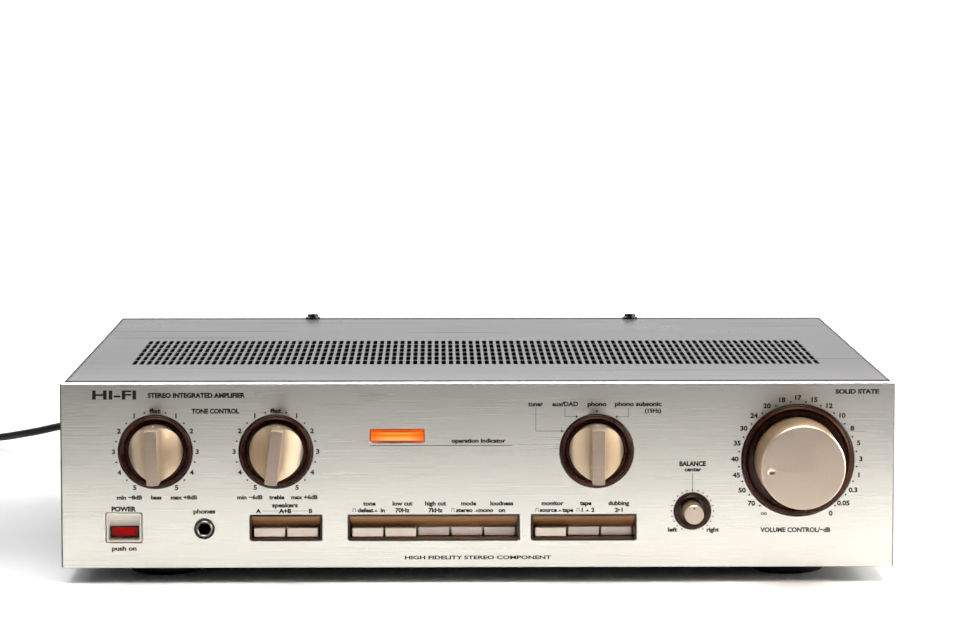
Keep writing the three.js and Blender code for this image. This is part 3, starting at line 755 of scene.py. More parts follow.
def typeset(text, size, bold):
    """Words as a thin solid lying flat, with their box."""
    words = bpy.data.curves.new("words", "FONT")
    words.body = text
    words.size = size
    words.align_x = "CENTER"
    words.extrude = (ink_back - ink_front) / 2
    words.offset = bold
    words.resolution_u = 3
    held = bpy.data.objects.new("words", words)
    scene.collection.objects.link(held)
    made = held.evaluated_get(bpy.context.evaluated_depsgraph_get())
    flat = bmesh.new()
    flat.from_mesh(made.to_mesh())
    made.to_mesh_clear()
    bpy.data.objects.remove(held)
    bpy.data.curves.remove(words)
    across = [vert.co.x for vert in flat.verts]
    upward = [vert.co.y for vert in flat.verts]
    return flat, min(across), max(across), max(upward) - min(upward)


capital_share = typeset("H", 1, 0)[3]


def legend(text, x, z, height=2.2, width=None, bold=None):
    """Prints words with their capitals centred on a point, stretched to a width if one is given."""
    if bold is None:
        bold = 0.19 if text.isupper() and len(text) > 2 else 0.148
    flat, left, right, _ = typeset(text, height / capital_share, bold)
    widening = width / (right - left) if width else 1.12
    spot = Matrix.Translation((x, (ink_front + ink_back) / 2, z - height / 2))
    spread = Matrix.Diagonal((widening, 1, 1, 1)) @ Matrix.Translation((-(left + right) / 2, 0, 0))
    flat.transform(spot @ up_the_panel @ spread)
    mesh = bpy.data.meshes.new("words")
    flat.to_mesh(mesh)
    print_sheet.from_mesh(mesh)
    bpy.data.meshes.remove(mesh)
    flat.free()


def patch(outline):
    """Prints a filled outline given as pairs of x and z."""
    skin(print_sheet, [[(u, y, v) for u, v in outline] for y in (ink_front, ink_back)])


def rule(x0, z0, x1, z1, weight=0.28):
    """Prints a straight line."""
    along = Vector((x1 - x0, z1 - z0)).normalized() * weight / 2
    side = Vector((-along.y, along.x))
    start, end = Vector((x0, z0)) - along, Vector((x1, z1)) + along
    patch([start - side, end - side, end + side, start + side])


def dot(x, z, radius=0.5):
    """Prints a round dot."""
    turn = [2 * math.pi * k / 12 for k in range(12)]
    patch([(x + radius * math.cos(a), z + radius * math.sin(a)) for a in turn])


def arrow(x, z, direction, size=0.75):
    """Prints a small solid arrow head, its tip at a point."""
    patch([(x, z), (x - direction * 1.7 * size, z + size), (x - direction * 1.7 * size, z - size)])


def around(centre, radius, angle):
    """A point on a circle round a knob, at an angle from straight up."""
    turn = math.radians(angle)
    return centre.x + radius * math.sin(turn), centre.z + radius * math.cos(turn)


def raised_key(x, z, size=1.7):
    """Prints the mark of a released button: a square standing on a line."""
    half = size * 0.36
    for start, end in (
        ((-size * 0.62, -half), (-half, -half)), ((-half, -half), (-half, half * 1.4)),
        ((-half, half * 1.4), (half, half * 1.4)), ((half, half * 1.4), (half, -half)),
        ((half, -half), (size * 0.62, -half)),
    ):
        rule(x + start[0], z + start[1], x + end[0], z + end[1], 0.26)


def pressed_key(x, z, size=1.7):
    """Prints the mark of a pressed button: a low solid step on a line."""
    half = size * 0.4
    rule(x - size * 0.62, z - half, x + size * 0.62, z - half, 0.26)
    patch([(x - half, z - half), (x + half, z - half), (x, z + half * 0.7)])


z0 = panel_low.z
legend("HI-FI", -190.5, z0 + 91.8, 4.4, 23, 0.2)
legend("STEREO INTEGRATED AMPLIFIER", -147.5, z0 + 91.5, 2.3, 51)
legend("SOLID STATE", 199, z0 + 93.1, 2.1, 23)
legend("HIGH FIDELITY STEREO COMPONENT", 0, z0 + 5.4, 1.8, 77, 0.09)
legend("TONE CONTROL", -137.6, z0 + 83.2, 2.3, 25)

tone_radius = 21.9
for name in ("bass", "treble"):
    knob = middle(f"{name}_ring")
    legend("flat", knob.x, z0 + 83.4, 2.2, 6)
    for side in (-1, 1):
        for mark in range(1, 6):
            x, z = around(knob, tone_radius, side * 30 * mark)
            legend(str(mark), x, z, 2.35)
            dot(*around(knob, tone_radius - 0.6, side * (30 * mark - 15)))
for knob_x, low_words, word, high_words in (
    (middle("bass_ring").x, "min −8dB", "bass", "max +8dB"),
    (middle("treble_ring").x, "min −6dB", "treble", "max +6dB"),
):
    legend(low_words, knob_x - 13.8, z0 + 37.6, 2.0, 13.4)
    legend(word, knob_x + 0.3, z0 + 37.6, 2.0)
    legend(high_words, knob_x + 14.8, z0 + 37.6, 2.0, 14)

power = middle("power_bezel")
legend("POWER", power.x, z0 + 31.5, 2.3, 13)
legend("push on", power.x, z0 + 10.6, 2.2, 13)
legend("phones", jack.x, z0 + 30.2, 2.2, 11.6)

speakers = middle("speaker_bezel").x
legend("speakers", speakers - 0.5, z0 + 33.4, 2.2, 13.6)
for words, shift in (("A", -14), ("A+B", 0), ("B", 13.4)):
    legend(words, speakers + shift - 0.4, z0 + 30.3, 2.1)
rule(speakers - 12.4, z0 + 30.3, speakers - 4.2, z0 + 30.3, 0.16)
rule(speakers + 3.2, z0 + 30.3, speakers + 11.4, z0 + 30.3, 0.16)


def button_x(name):
    """Where a button's middle lies across the panel."""
    return middle(f"{name}_button").x


upper_row, lower_row = z0 + 34.2, z0 + 30.6
for name, words in (
    ("tone", "tone"), ("low_cut", "low cut"), ("high_cut", "high cut"), ("mode", "mode"),
    ("loudness", "loudness"), ("monitor", "monitor"), ("tape", "tape"), ("dubbing", "dubbing"),
):
    legend(words, button_x(name) + 1, upper_row, 2.1)
for name, words in (("low_cut", "70Hz"), ("high_cut", "7kHz"), ("loudness", "on")):
    legend(words, button_x(name) + 1, lower_row, 2.1)
for name, first, second, first_x, second_x in (
    ("tone", "defeat", "in", -1.4, 7.6), ("mode", "stereo", "mono", -1.7, 9.6),
    ("monitor", "source", "tape", -1.6, 8.6), ("tape", "1", "2", -1.2, 4.4),
):
    x = button_x(name) + 0.4
    for words, shift in ((first, first_x), (second, second_x)):
        legend(words, x + shift, lower_row, 2.0)
    raised_key(x + first_x - (2.2 if len(first) == 1 else 6), lower_row)
    pressed_key(x + (first_x + second_x) / 2 + (0 if len(first) == 1 else 0.9), lower_row)
legend("2▸1", button_x("dubbing") + 1, lower_row, 2.1)

legend("operation indicator", 0.3, z0 + 67.4, 2.1, 28.6)
rule(-56.6, z0 + 64.8, 17.9, z0 + 64.8, 0.3)

for words, x, width in (
    ("tuner", 30.2, 8), ("aux/DAD", 45.7, 13.6), ("phono", 62.4, 10), ("phono subsonic", 84, 24.6),
):
    legend(words, x, z0 + 86.7, 2.2, width)
legend("(15Hz)", 91.8, z0 + 83.1, 2.0, 8.6)
dot(62.3, z0 + 82.9)
rule(30.3, z0 + 84.8, 30.3, z0 + 72.4, 0.22)
rule(30.3, z0 + 72.4, 43.6, z0 + 72.4, 0.22)
arrow(44.9, z0 + 72.4, 1)
rule(45.6, z0 + 84.5, 45.6, z0 + 80, 0.22)
rule(45.6, z0 + 80, 51.4, z0 + 80, 0.22)
arrow(52.6, z0 + 80, 1)
rule(79, z0 + 84.4, 79, z0 + 79.9, 0.22)
rule(79, z0 + 79.9, 73, z0 + 79.9, 0.22)
arrow(71.9, z0 + 79.9, -1)

balance = middle("balance_ring")
legend("BALANCE", balance.x, z0 + 55, 2.3, 14)
legend("center", balance.x + 0.2, z0 + 52, 2.0, 9)
rule(balance.x, z0 + 50.1, balance.x, z0 + 40.2, 0.26)
for step in range(-10, 11):
    dot(*around(balance, 11.1, 15 * step), 0.38)
legend("left", balance.x - 10.4, z0 + 20, 2.1, 5)
legend("right", balance.x + 10.8, z0 + 20, 2.1, 6.6)

volume = middle("volume_ring")
volume_marks = (
    "∞", "70", "50", "45", "40", "35", "30", "24", "20", "18", "17", "15", "12", "10", "8",
    "5", "3", "1", "0.3", "0.05", "0",
)
volume_sweep = 148
mark_step = 2 * volume_sweep / (len(volume_marks) - 1)
for k, words in enumerate(volume_marks):
    angle = -volume_sweep + k * mark_step
    x, z = around(volume, 33.2, angle)
    legend(words, x, z, 2.35, bold=0.16 if k else 0.04)
    if k:
        dot(*around(volume, 31.2, angle - mark_step / 2))
legend("VOLUME CONTROL/−dB", 167.1, z0 + 19.8, 2.3, 37)
piece("panel_legends", print_sheet, ink, crease=20)


# ---- Bezel rings ----
# Each rotary control sits in a ring of very dark red-brown plastic let into the panel: a thin lip,
# a polished hollow face, a bright step round the well, and a well that the knob's skirt turns in.
bronze_gloss = moulded(
    "bronze_gloss", tone(52, 18, 10), tone(29, 10, 7), (0.26, 0.13), 140, 900, (0.04, 0.05),
    specular=0.32,
)


def ring_profile(outer, well, lip, back, dish, floor, shaft):
    """The section of a ring, from its lip inward, down the well and back round the outside."""
    face = [(outer - 1.2, lip + 0.25), (outer - 2.1, 0.55)]
    hollow = []
    steps = 8
    for k in range(1, steps):
        part = k / steps
        sag = 0.35 * math.sin(math.pi * part)
        hollow.append(
            (outer - 2.1 - (outer - 3.0 - well) * part, 0.55 + (dish - 0.75) * part + sag)
        )
    step = [(well + 0.9, dish - 0.2), (well + 0.6, dish - 0.75), (well, dish - 0.7), (well, floor)]
    behind = [(shaft, floor), (shaft, back), (outer, back), (outer, 0), (outer - 0.35, lip)]
    return [*face, *hollow, *softened(step, 0.25, steps=3), *behind, (outer - 0.8, lip)]


for name in RINGS:
    low, high = limits(f"{name}_ring")
    centre = middle(f"{name}_ring")
    outer = (high.x - low.x) / 2
    well = {"volume": 25.2, "balance": 7.4}.get(name, 14.85)
    shaft = 2.6 if name == "balance" else 3.6
    shape = bmesh.new()
    profile = ring_profile(outer, well, low.y, high.y, 2.4, 5, shaft)
    turned(shape, profile, centre.x, centre.z, 160, True)
    piece(f"{name}_bezel_ring", shape, bronze_gloss, [f"{name}_ring"], crease=50)


# ---- Knobs ----
# Solid aluminium, turned and champagne anodised to a satin finish, with bright turned edges. The
# tone and selector knobs are milled to a grip bar; volume and balance are plain drums.
def make_turned_lines():
    """Lathe marks: fine rings round the Y axis through a point, and a slow cloudiness."""
    group, given, put = effect(
        "turned_lines", {"Centre X": 0, "Centre Z": 0, "Pitch": 1600}, ["Lines", "Cloud"]
    )
    where = node(group, "TexCoord").outputs["Object"]
    apart = node(group, "SeparateXYZ", (where, "Vector"))
    legs = [
        reckon(group, "SUBTRACT", apart.outputs[axis], given.outputs[f"Centre {axis}"])
        for axis in ("X", "Z")
    ]
    flat = node(group, "CombineXYZ", (legs[0], "X"), (legs[1], "Z"))
    span = node(group, "VectorMath", (flat.outputs["Vector"], "Vector"), operation="LENGTH")
    rings = reckon(group, "MULTIPLY", span.outputs["Value"], given.outputs["Pitch"])
    spot = node(group, "CombineXYZ", (rings, "X"))
    lines = node(group, "TexNoise", (spot.outputs["Vector"], "Vector"), Scale=1, Detail=2)
    cloud = node(group, "TexNoise", (where, "Vector"), Scale=120, Detail=3)
    group.links.new(lines.outputs["Fac"], put.inputs["Lines"])
    group.links.new(cloud.outputs["Fac"], put.inputs["Cloud"])
    return group


turned_lines = make_turned_lines()


def champagne(name, centre, light, dark, metallic=0.85):
    """Champagne anodising over lathe marks centred on one knob."""
    material, shader = finish(name, light, 0.36, metallic)
    marks = apply(
        material, turned_lines, **{"Centre X": centre.x * MM, "Centre Z": centre.z * MM},
    )
    shade(material, marks["Lines"], light, dark)
    shade(material, marks["Cloud"], 0.42, 0.32, label="Roughness")
    relief(material, marks["Lines"], 0.02, 0.02)
    return material


index_white = moulded("index_white", tone(246, 243, 235), tone(232, 227, 216), 0.4, 900)
index_black = moulded("index_black", tone(30, 28, 26), tone(14, 13, 12), 0.35, 900)


def knob_turn(centre, angle):
    """Sets a knob, made upright round x = z = 0, on its shaft at its resting angle."""
    spot = Matrix.Translation((centre.x, 0, centre.z))
    return spot @ Matrix.Rotation(math.radians(angle), 4, "Y")


def grip_profile(radius, reach, seat):
    """A pointer knob's section from above: a flat-sided bar with a hollow slope on each side."""
    half = 3.15
    start, pull, end = Vector((half, -14)), Vector((5.2, -4.9)), Vector((radius + 1, 3))
    steps = 10
    slope = [
        start * (1 - t) ** 2 + pull * 2 * t * (1 - t) + end * t ** 2
        for t in (k / steps for k in range(steps + 1))
    ]
    right = [Vector((half, -reach - 1)), *slope, Vector((radius + 1, seat + 1))]
    return [*right, *(Vector((-point.x, point.y)) for point in reversed(right))]


REST_ANGLES = {"bass": -2.6, "treble": 7.2, "selector": 0, "volume": -97, "balance": 0}
for name, angle in REST_ANGLES.items():
    low, high = limits(f"{name}_knob")
    centre = middle(f"{name}_ring")
    body = f"{name}_control"
    reach, back = -low.y, high.y
    seat = 4.2
    pointer = name in ("bass", "treble", "selector")
    shape = bmesh.new()
    if pointer:
        radius = 14.25
        drum = [(0, -reach), (radius, -reach), (radius, seat), (0, seat)]
        turned(shape, drum, 0, 0, 160)
        grip = bmesh.new()
        outline = grip_profile(radius, reach, seat)
        skin(grip, [[(u, v, z) for u, v in outline] for z in (-radius - 1, radius + 1)])
        shape = carve(shape, grip, "INTERSECT")
        turned(shape, [(0, seat - 0.01), (3, seat - 0.01), (3, back), (0, back)], 0, 0, 32)
        rounding = 0.35
    else:
        big = name == "volume"
        radius, taper, edge, shaft = (22.6, 0.7, 0.55, 3) if big else (5.2, 0.2, 0.35, 2)
        face = radius - taper
        rim = [(face - edge, -reach), (face, edge - reach)]
        drum = [(0, -reach), *rim, (radius, seat - 0.3), (radius - 0.3, seat)]
        turned(shape, [*drum, (shaft, seat), (shaft, back), (0, back)], 0, 0, 192 if big else 96)
        if big:
            dimple_radius, dimple_offset, dimple_depth = 2.0, 16.8, 0.8
            bowl = [(0, dimple_depth - reach)]
            for k in range(1, 9):
                part = k / 8
                bowl.append((dimple_radius * part, dimple_depth * (1 - part ** 2) - reach))
            bowl += [(dimple_radius, -reach - 1), (0, -reach - 1)]
            hollow = bmesh.new()
            turned(hollow, bowl, 0, dimple_offset, 40)
            shape = carve(shape, hollow)
        rounding = 0
    shape.transform(knob_turn(centre, angle))
    # The bar front of a pointer knob takes a darker copy of the anodising, painted shade; a drum's side
    # takes a lighter, warmer copy, painted light and a painted reflection of the bronze ring. The volume
    # and balance drums take a darker tone than the pointer knobs, also painted shade.
    if pointer:
        body_tones = tone(221, 200, 173), tone(213, 191, 163)
        second_name, painted_shading_tones = "bar_face_painted_shade", (tone(176, 158, 143), tone(164, 146, 131))
    else:
        body_tones = tone(190, 174, 158), tone(184, 167, 150)
        second_name, painted_shading_tones = "drum_side_painted_light", (tone(232, 200, 162), tone(222, 188, 150))
    finishes = [
        champagne(f"{name}_anodising", centre, *body_tones),
        champagne(f"{name}_{second_name}", centre, *painted_shading_tones),
    ]
    # Bar fronts and drum sides take the second copy, the painted shading.
    shape.normal_update()
    for face in shape.faces:
        on_bar = face.calc_center_median().y < 0.05 - reach
        on_side = abs(face.normal.y) < 0.2
        if (on_bar if pointer else on_side):
            face.material_index = 1
    piece(
        f"{name}_grip", shape, finishes, [f"{name}_knob"], body, rounding,
        crease=28,
    )
    if name != "volume":
        spot = bmesh.new()
        if name == "balance":
            front, rear = -reach - 0.05, 0.3 - reach
            turned(spot, [(0, front), (0.5, front), (0.5, rear), (0, rear)], 0, 3.4, 24)
            dot_finish = index_black
        else:
            turned(spot, softened([(0, -0.22), (0.62, -0.22), (0.62, 0.6), (0, 0.6)], 0.12), 0, 0, 28)
            spot.transform(
                Matrix.Translation((0, -7.8, radius)) @ Matrix.Rotation(math.radians(-90), 4, "X")
            )
            dot_finish = index_white
        spot.transform(knob_turn(centre, angle))
        piece(f"{name}_index", spot, dot_finish, body=body)


# ---- Push-button banks ----
# Rows of cream buttons work in recessed bezels of dark plastic. A sloping upper face, metallised
# bronze, runs back to the buttons, with a narrow ledge of the same finish under them.
bronze_mirror = lined(
    "bronze_metallised", tone(170, 134, 100), tone(156, 120, 88), (0.46, 0.34), 60, 700,
)

cream = moulded(
    "cream_button", tone(220, 206, 194), tone(211, 195, 181), (0.46, 0.34), 110, 3600,
    (0.12, 0.03),
)

slope_depth = 5.0


def bank_bezel(name, node_name, opening, finishes, rim=0.5, corner=0.4):
    """A recessed frame: outside, lip, sloping faces to the opening, and back through it."""
    low, high = limits(node_name)
    hole_low, hole_high = opening
    outlines = [
        panel_rectangle(high.y, low.x, high.x, low.z, high.z, corner),
        panel_rectangle(low.y + 0.25, low.x, high.x, low.z, high.z, corner),
        panel_rectangle(low.y, low.x + 0.2, high.x - 0.2, low.z + 0.2, high.z - 0.2, corner),
        panel_rectangle(low.y, low.x + rim, high.x - rim, low.z + rim, high.z - rim, corner * 0.6),
    ]
    inner = (hole_low.x, hole_high.x, hole_low.z, hole_high.z, corner * 0.4)
    outlines.append(panel_rectangle(slope_depth, *inner))
    outlines.append(panel_rectangle(high.y, *inner))
    shape = bmesh.new()
    sides = skin(shape, outlines, looped=True)
    for face in sides:
        face.normal_update()
        depths = [vert.co.y for vert in face.verts]
        sloping = min(depths) < 0.1 and max(depths) > slope_depth - 0.1 and max(depths) < 5.5
        if sloping and abs(face.normal.z) > abs(face.normal.x):
            face.material_index = 1
    return piece(name, shape, finishes, [node_name], crease=25)


def key(name, node_name, finishes, slot, body, edge=0.35, corner=0.5):
    """A button: a cap with soft edges and the stem that works its switch."""
    low, high = limits(node_name)
    centre = middle(node_name)
    width, height = high.x - low.x, high.z - low.z
    cap, stem_width, stem_height = 7, 4, 3
    sizes = [
        (low.y, width - 2 * edge, height - 2 * edge, corner * 0.5),
        (low.y + edge * 0.3, width - edge * 0.6, height - edge * 0.6, corner * 0.8),
        (low.y + edge, width, height, corner),
        (low.y + cap, width, height, corner),
        (low.y + cap, stem_width, stem_height, corner * 0.5),
        (high.y, stem_width, stem_height, corner * 0.5),
    ]
    shape = bmesh.new()
    skin(shape, [panel_outline(centre.x, y, centre.z, w, h, c) for y, w, h, c in sizes])
    return piece(name, shape, finishes, [node_name], body, crease=50)


clearance = 0.3
for bank, names in BANKS.items():
    boxes = [limits(f"{name}_button") for name in names]
    edges = Vector((clearance, 0, clearance))
    opening = (boxes[0][0] - edges, boxes[-1][1] + edges)
    bank_bezel(
        f"{bank}_bank_bezel", f"{bank}_bezel", opening, [bronze_gloss, bronze_mirror],
    )
    for name in names:
        key(f"{name}_key_cap", f"{name}_button", cream, "button_plastic", f"{name}_key")


# ---- Power button ----
# A silver metallised frame holds a black-edged button with a deep red window. It is pressed in.
silver_trim = lined(
    "silver_metallised", tone(218, 213, 202), tone(204, 198, 186), (0.46, 0.36), 60, 700,
    metallic=0.35,
)
red_window = moulded("red_window", tone(206, 8, 6), tone(176, 4, 4), 0.34, 200, specular=0.06)
power_low, power_high = limits("power_button")
edges = Vector((clearance, 0, clearance))
bank_bezel(
    "power_frame", "power_bezel", (power_low - edges, power_high + edges),
    [silver_trim, silver_trim], rim=1.0, corner=0.8,
)
key("power_key_cap", "power_button", black_mould, "red_plastic", "power_key", corner=0.6)
window_inset = 0.9
window = bmesh.new()
window_edge = 0.25
outlines = []
for y, inset in ((-0.12, window_inset + window_edge), (0.05, window_inset), (0.6, window_inset)):
    outlines.append(
        panel_rectangle(
            power_low.y + y, power_low.x + inset, power_high.x - inset,
            power_low.z + inset * 0.62, power_high.z - inset * 0.62, 0.3,
        )
    )
skin(window, outlines)
piece("power_window", window, red_window, body="power_key")


# ---- Headphone jack ----
# A nickel-plated bush comes through the panel, held by a black collar, with contacts inside.
nickel = moulded(
    "nickel_plate", tone(208, 206, 200), tone(186, 184, 178), (0.24, 0.12), 260, metallic=1.0,
)
jack_low, jack_high = limits("headphone_jack")
hole = 3.2
bush = [
    (hole + 0.35, jack_low.y), (jack_radius - 0.3, jack_low.y), (jack_radius, jack_low.y + 0.3),
    (jack_radius, panel_depth + fit), (7.35, panel_depth + fit), (7.35, jack_high.y),
    (0, jack_high.y), (0, jack_high.y - 3), (hole, jack_high.y - 3), (hole, jack_low.y + 0.35),
]
shape = bmesh.new()
sides = turned(shape, bush, jack.x, jack.z, 64, True)
for face in sides:
    if face.calc_center_median().y > jack_low.y + 0.4:
        face.material_index = 1
black_nickel = moulded(
    "black_nickel", tone(122, 120, 114), tone(98, 96, 90), 0.3, 260, metallic=1.0,
)
piece(
    "headphone_bush", shape, [black_nickel, black_mould], ["headphone_jack"],
    crease=40,
)
collar_low, collar_high = limits("headphone_collar")
collar_radius = (collar_high.x - collar_low.x) / 2
collar = [
    (jack_radius + fit, collar_low.y), (collar_radius - 0.2, collar_low.y),
    (collar_radius, collar_low.y + 0.3), (collar_radius, collar_high.y),
    (jack_radius + fit, collar_high.y),
]
shape = bmesh.new()
turned(shape, softened(collar, 0.2, True, 2), jack.x, jack.z, 64, True)
piece("headphone_ring", shape, black_mould, ["headphone_collar"], crease=40)


# ---- Operation indicator ----
# A bowed amber lens let into the panel, with a strip lamp glowing behind it.
amber, amber_shader = finish("amber_lens", tone(120, 40, 4), 0.24)
amber_shader.inputs["Specular IOR Level"].default_value = 0.2
tree = amber.node_tree
where = node(tree, "TexCoord").outputs["Object"]
apart = node(tree, "SeparateXYZ", (where, "Vector"))
lens_low, lens_high = limits("indicator_lens")


def span_share(axis, low, high, ends):
    """Where a point lies in the lens along an axis, as a number that runs between two ends."""
    return stretch(tree, apart.outputs[axis], low * MM, high * MM, *ends)


bands = node(tree, "ValToRGB", (span_share("Z", lens_low.z, lens_high.z, (0, 1)), "Fac"))
bands.color_ramp.elements[0].color = (*tone(120, 36, 6), 1)
bands.color_ramp.elements[1].color = (*tone(214, 84, 34), 1)
for height, colour in (
    (0.07, tone(150, 50, 8)), (0.16, tone(255, 198, 116)), (0.36, tone(255, 196, 84)),
    (0.52, tone(240, 140, 26)), (0.6, tone(240, 140, 26)), (0.75, tone(255, 182, 82)),
    (0.87, tone(196, 74, 10)),
):
    stop = bands.color_ramp.elements.new(height)
    stop.color = (*colour, 1)
sideways = reckon(tree, "ABSOLUTE", span_share("X", lens_low.x, lens_high.x, (-1, 1)))
towards_ends = stretch(tree, sideways, 0.4, 1.0, 0.0, 0.8)
heat = node(
    tree, "Mix", (towards_ends, "Factor"), (bands.outputs["Color"], 6), data_type="RGBA",
)
heat.inputs[7].default_value = (*tone(255, 92, 6), 1)
tree.links.new(heat.outputs[2], amber_shader.inputs["Emission Color"])
amber_shader.inputs["Emission Strength"].default_value = 0.8
bow = 0.7
shape = bmesh.new()
lens_middle = (lens_low.x + lens_high.x) / 2
lens_half = (lens_high.x - lens_low.x) / 2
columns = 25
front_row = []
for k in range(columns):
    across = -1 + 2 * k / (columns - 1)
    front_row.append((lens_middle + across * lens_half, lens_low.y + bow * across ** 2))
section = [*front_row, (lens_high.x, lens_high.y), (lens_low.x, lens_high.y)]
crown = []
rows = 9
for k in range(rows):
    up = -1 + 2 * k / (rows - 1)
    pull = 0.4 * up ** 6
    z = middle("indicator_lens").z + up * (lens_high.z - lens_low.z) / 2
    crown.append([(u, v + (pull if v < 1 else 0), z) for u, v in section])
skin(shape, crown)
piece("indicator_window", shape, amber, ["indicator_lens"], crease=50)


# ---- Control bodies and switches ----
# Behind the panel each shaft turns a closed potentiometer or the rotary switch, and the buttons
# work slide switches on one pressed-paper board. The lamp behind the lens is in a white holder.
board_tan = moulded(
    "pressed_paper_board", tone(176, 138, 80), tone(146, 108, 58), (0.62, 0.44), 45, 700,
    (0.15, 0.05),
)
white_mould = moulded(
    "white_moulding", tone(234, 229, 214), tone(216, 209, 190), 0.42, 120, 2600, (0.15, 0.04),
)

for name in RINGS:
    keep(f"{name}_switch" if name == "selector" else f"{name}_potentiometer", zinc)
keep("power_switch", black_mould)
keep("switch_board", board_tan)
keep("indicator_lamp", white_mould)


# ---- Power supply and amplifier ----
# A transformer with varnished laminations stands on the pan. The tan main board carries a black
# finned heat sink, a moulded output module, two large capacitors and rows of small parts.
lamination, _ = finish("varnished_lamination", tone(84, 78, 74), 0.4, 0.7)
marks = apply(lamination, brushed_lines, Along=8, Across=1900)
shade(lamination, marks["Lines"], tone(104, 98, 92), tone(60, 55, 52))
relief(lamination, marks["Lines"], 0.4, 0.1)
winding_tape = moulded(
    "winding_tape", tone(206, 172, 84), tone(176, 140, 54), 0.45, 60, 500, (0.2, 0.1),
)
sink_black = lined(
    "black_anodised", tone(44, 44, 46), tone(26, 26, 28), (0.5, 0.36), 600, 20, metallic=0.7,
)
blue_sleeve = moulded("blue_sleeve", tone(32, 46, 98), tone(20, 30, 68), 0.3, 50, 900)
resistor_tan = moulded("resistor_body", tone(204, 178, 136), tone(160, 118, 84), 0.4, 700)

keep("heat_sink", sink_black)
keep("output_module", black_mould)

core_low, core_high = limits("power_transformer")
core_spot = middle("power_transformer")
core_half, core_depth = 38, 18
coil_half, coil_depth = 24, 32
shape = bmesh.new()
flange_half, flange_thick = 30, 2
block(
    shape, (core_low.x, core_spot.y - flange_half, core_low.z),
    (core_high.x, core_spot.y + flange_half, core_low.z + flange_thick), 0.4,
)
piece("transformer_mount", shape, zinc, ["power_transformer"])
shape = bmesh.new()
block(
    shape, (core_spot.x - core_half, core_spot.y - core_depth, core_low.z + 2.1),
    (core_spot.x + core_half, core_spot.y + core_depth, core_high.z), 0.6,
)
piece("transformer_core", shape, lamination, bevel=0.5)
for side, name in ((-1, "front"), (1, "rear")):
    shape = bmesh.new()
    near, far = core_spot.y + side * (core_depth + 0.1), core_spot.y + side * coil_depth
    bottom, top = core_low.z + 12, core_high.z - 12
    outlines = [
        panel_outline(core_spot.x, near + (far - near) * part, (bottom + top) / 2,
                      2 * coil_half - inset, top - bottom - inset, 3.5, 4)
        for part, inset in ((0, 0), (0.7, 0), (0.92, 1.2), (1, 4))
    ]
    skin(shape, outlines)
    piece(f"transformer_winding_{name}", shape, winding_tape)

for side in ("left", "right"):
    low, high = limits(f"filter_capacitor_{side}")
    spot = middle(f"filter_capacitor_{side}")
    radius = (high.x - low.x) / 2
    can = [
        (0, low.z), (radius - 0.6, low.z), (radius, low.z + 1), (radius, low.z + 3.2),
        (radius - 1.2, low.z + 4), (radius - 1.2, low.z + 5), (radius, low.z + 6),
        (radius, high.z - 1), (radius - 1, high.z), (radius - 3, high.z), (radius - 3.4, high.z - 1),
        (0, high.z - 1),
    ]
    shape = bmesh.new()
    sides = standing(shape, softened(can, 0.5), spot.x, spot.y, 64)
    for face in sides:
        if face.calc_center_median().z > high.z - 1.1:
            face.material_index = 1
    piece(
        f"capacitor_can_{side}", shape, [blue_sleeve, zinc],
        [f"filter_capacitor_{side}"],
    )

keep("main_circuit_board", board_tan)
board_low, board_high = limits("main_circuit_board")
board_face = board_high.z
random.seed(7)
parts_by_finish = {
    "resistors": (resistor_tan, bmesh.new()),
    "small_capacitors": (blue_sleeve, bmesh.new()),
}
step_x, step_y, border, first_place = 13, 16, 20, 14
resistor_share, filled_share = 0.6, 0.9
large_parts = ("heat_sink", "filter_capacitor_left", "filter_capacitor_right", "output_module")
taken = [limits(name) for name in large_parts]


def is_free(x, y, margin=6):
    """True where no large part stands on the board."""
    return not any(
        low.x - margin < x < high.x + margin and low.y - margin < y < high.y + margin
        for low, high in taken
    )


columns = int((board_high.x - board_low.x - border) / step_x)
rows = int((board_high.y - board_low.y - border) / step_y)
for column in range(columns):
    for row in range(rows):
        x = board_low.x + first_place + column * step_x
        y = board_low.y + first_place + row * step_y
        pick = random.random()
        if not is_free(x, y):
            continue
        if pick < resistor_share:
            body = [
                (0, -3.4), (0.9, -3.2), (1.15, -2.4), (0.9, -1.7), (0.9, 1.7), (1.15, 2.4),
                (0.9, 3.2), (0, 3.4),
            ]
            profile = [(radius, y + along) for radius, along in body]
            turned(parts_by_finish["resistors"][1], profile, x, board_face + 1.25, 14)
        elif pick < filled_share:
            radius, height = random.choice(((2.5, 9), (3.2, 11), (4, 12)))
            foot, head = board_face + 0.1, board_face + height
            body = [
                (0, foot), (radius, foot), (radius, head - 0.6), (radius - 0.6, head), (0, head),
            ]
            standing(parts_by_finish["small_capacitors"][1], body, x, y, 20)
for name, (material, shape) in parts_by_finish.items():
    piece(f"board_{name}", shape, material)


# ---- Rear panel ----
# A folded steel sheet painted satin dark grey, with black socket blocks screwed into its two
# windows and plain white lettering. The lead comes out at one side through its strain relief.
keep("rear_panel", dark_enamel_and_shade)

socket_white = moulded("socket_white", tone(234, 232, 225), tone(214, 211, 202), 0.36, 300)
socket_red = moulded("socket_red", tone(178, 26, 22), tone(150, 16, 14), 0.34, 300)
white_ink = moulded("white_ink", tone(232, 230, 224), tone(208, 205, 198), 0.5, 500)

flange_front = rear_face + 0.3
flange_sheet = 1.6


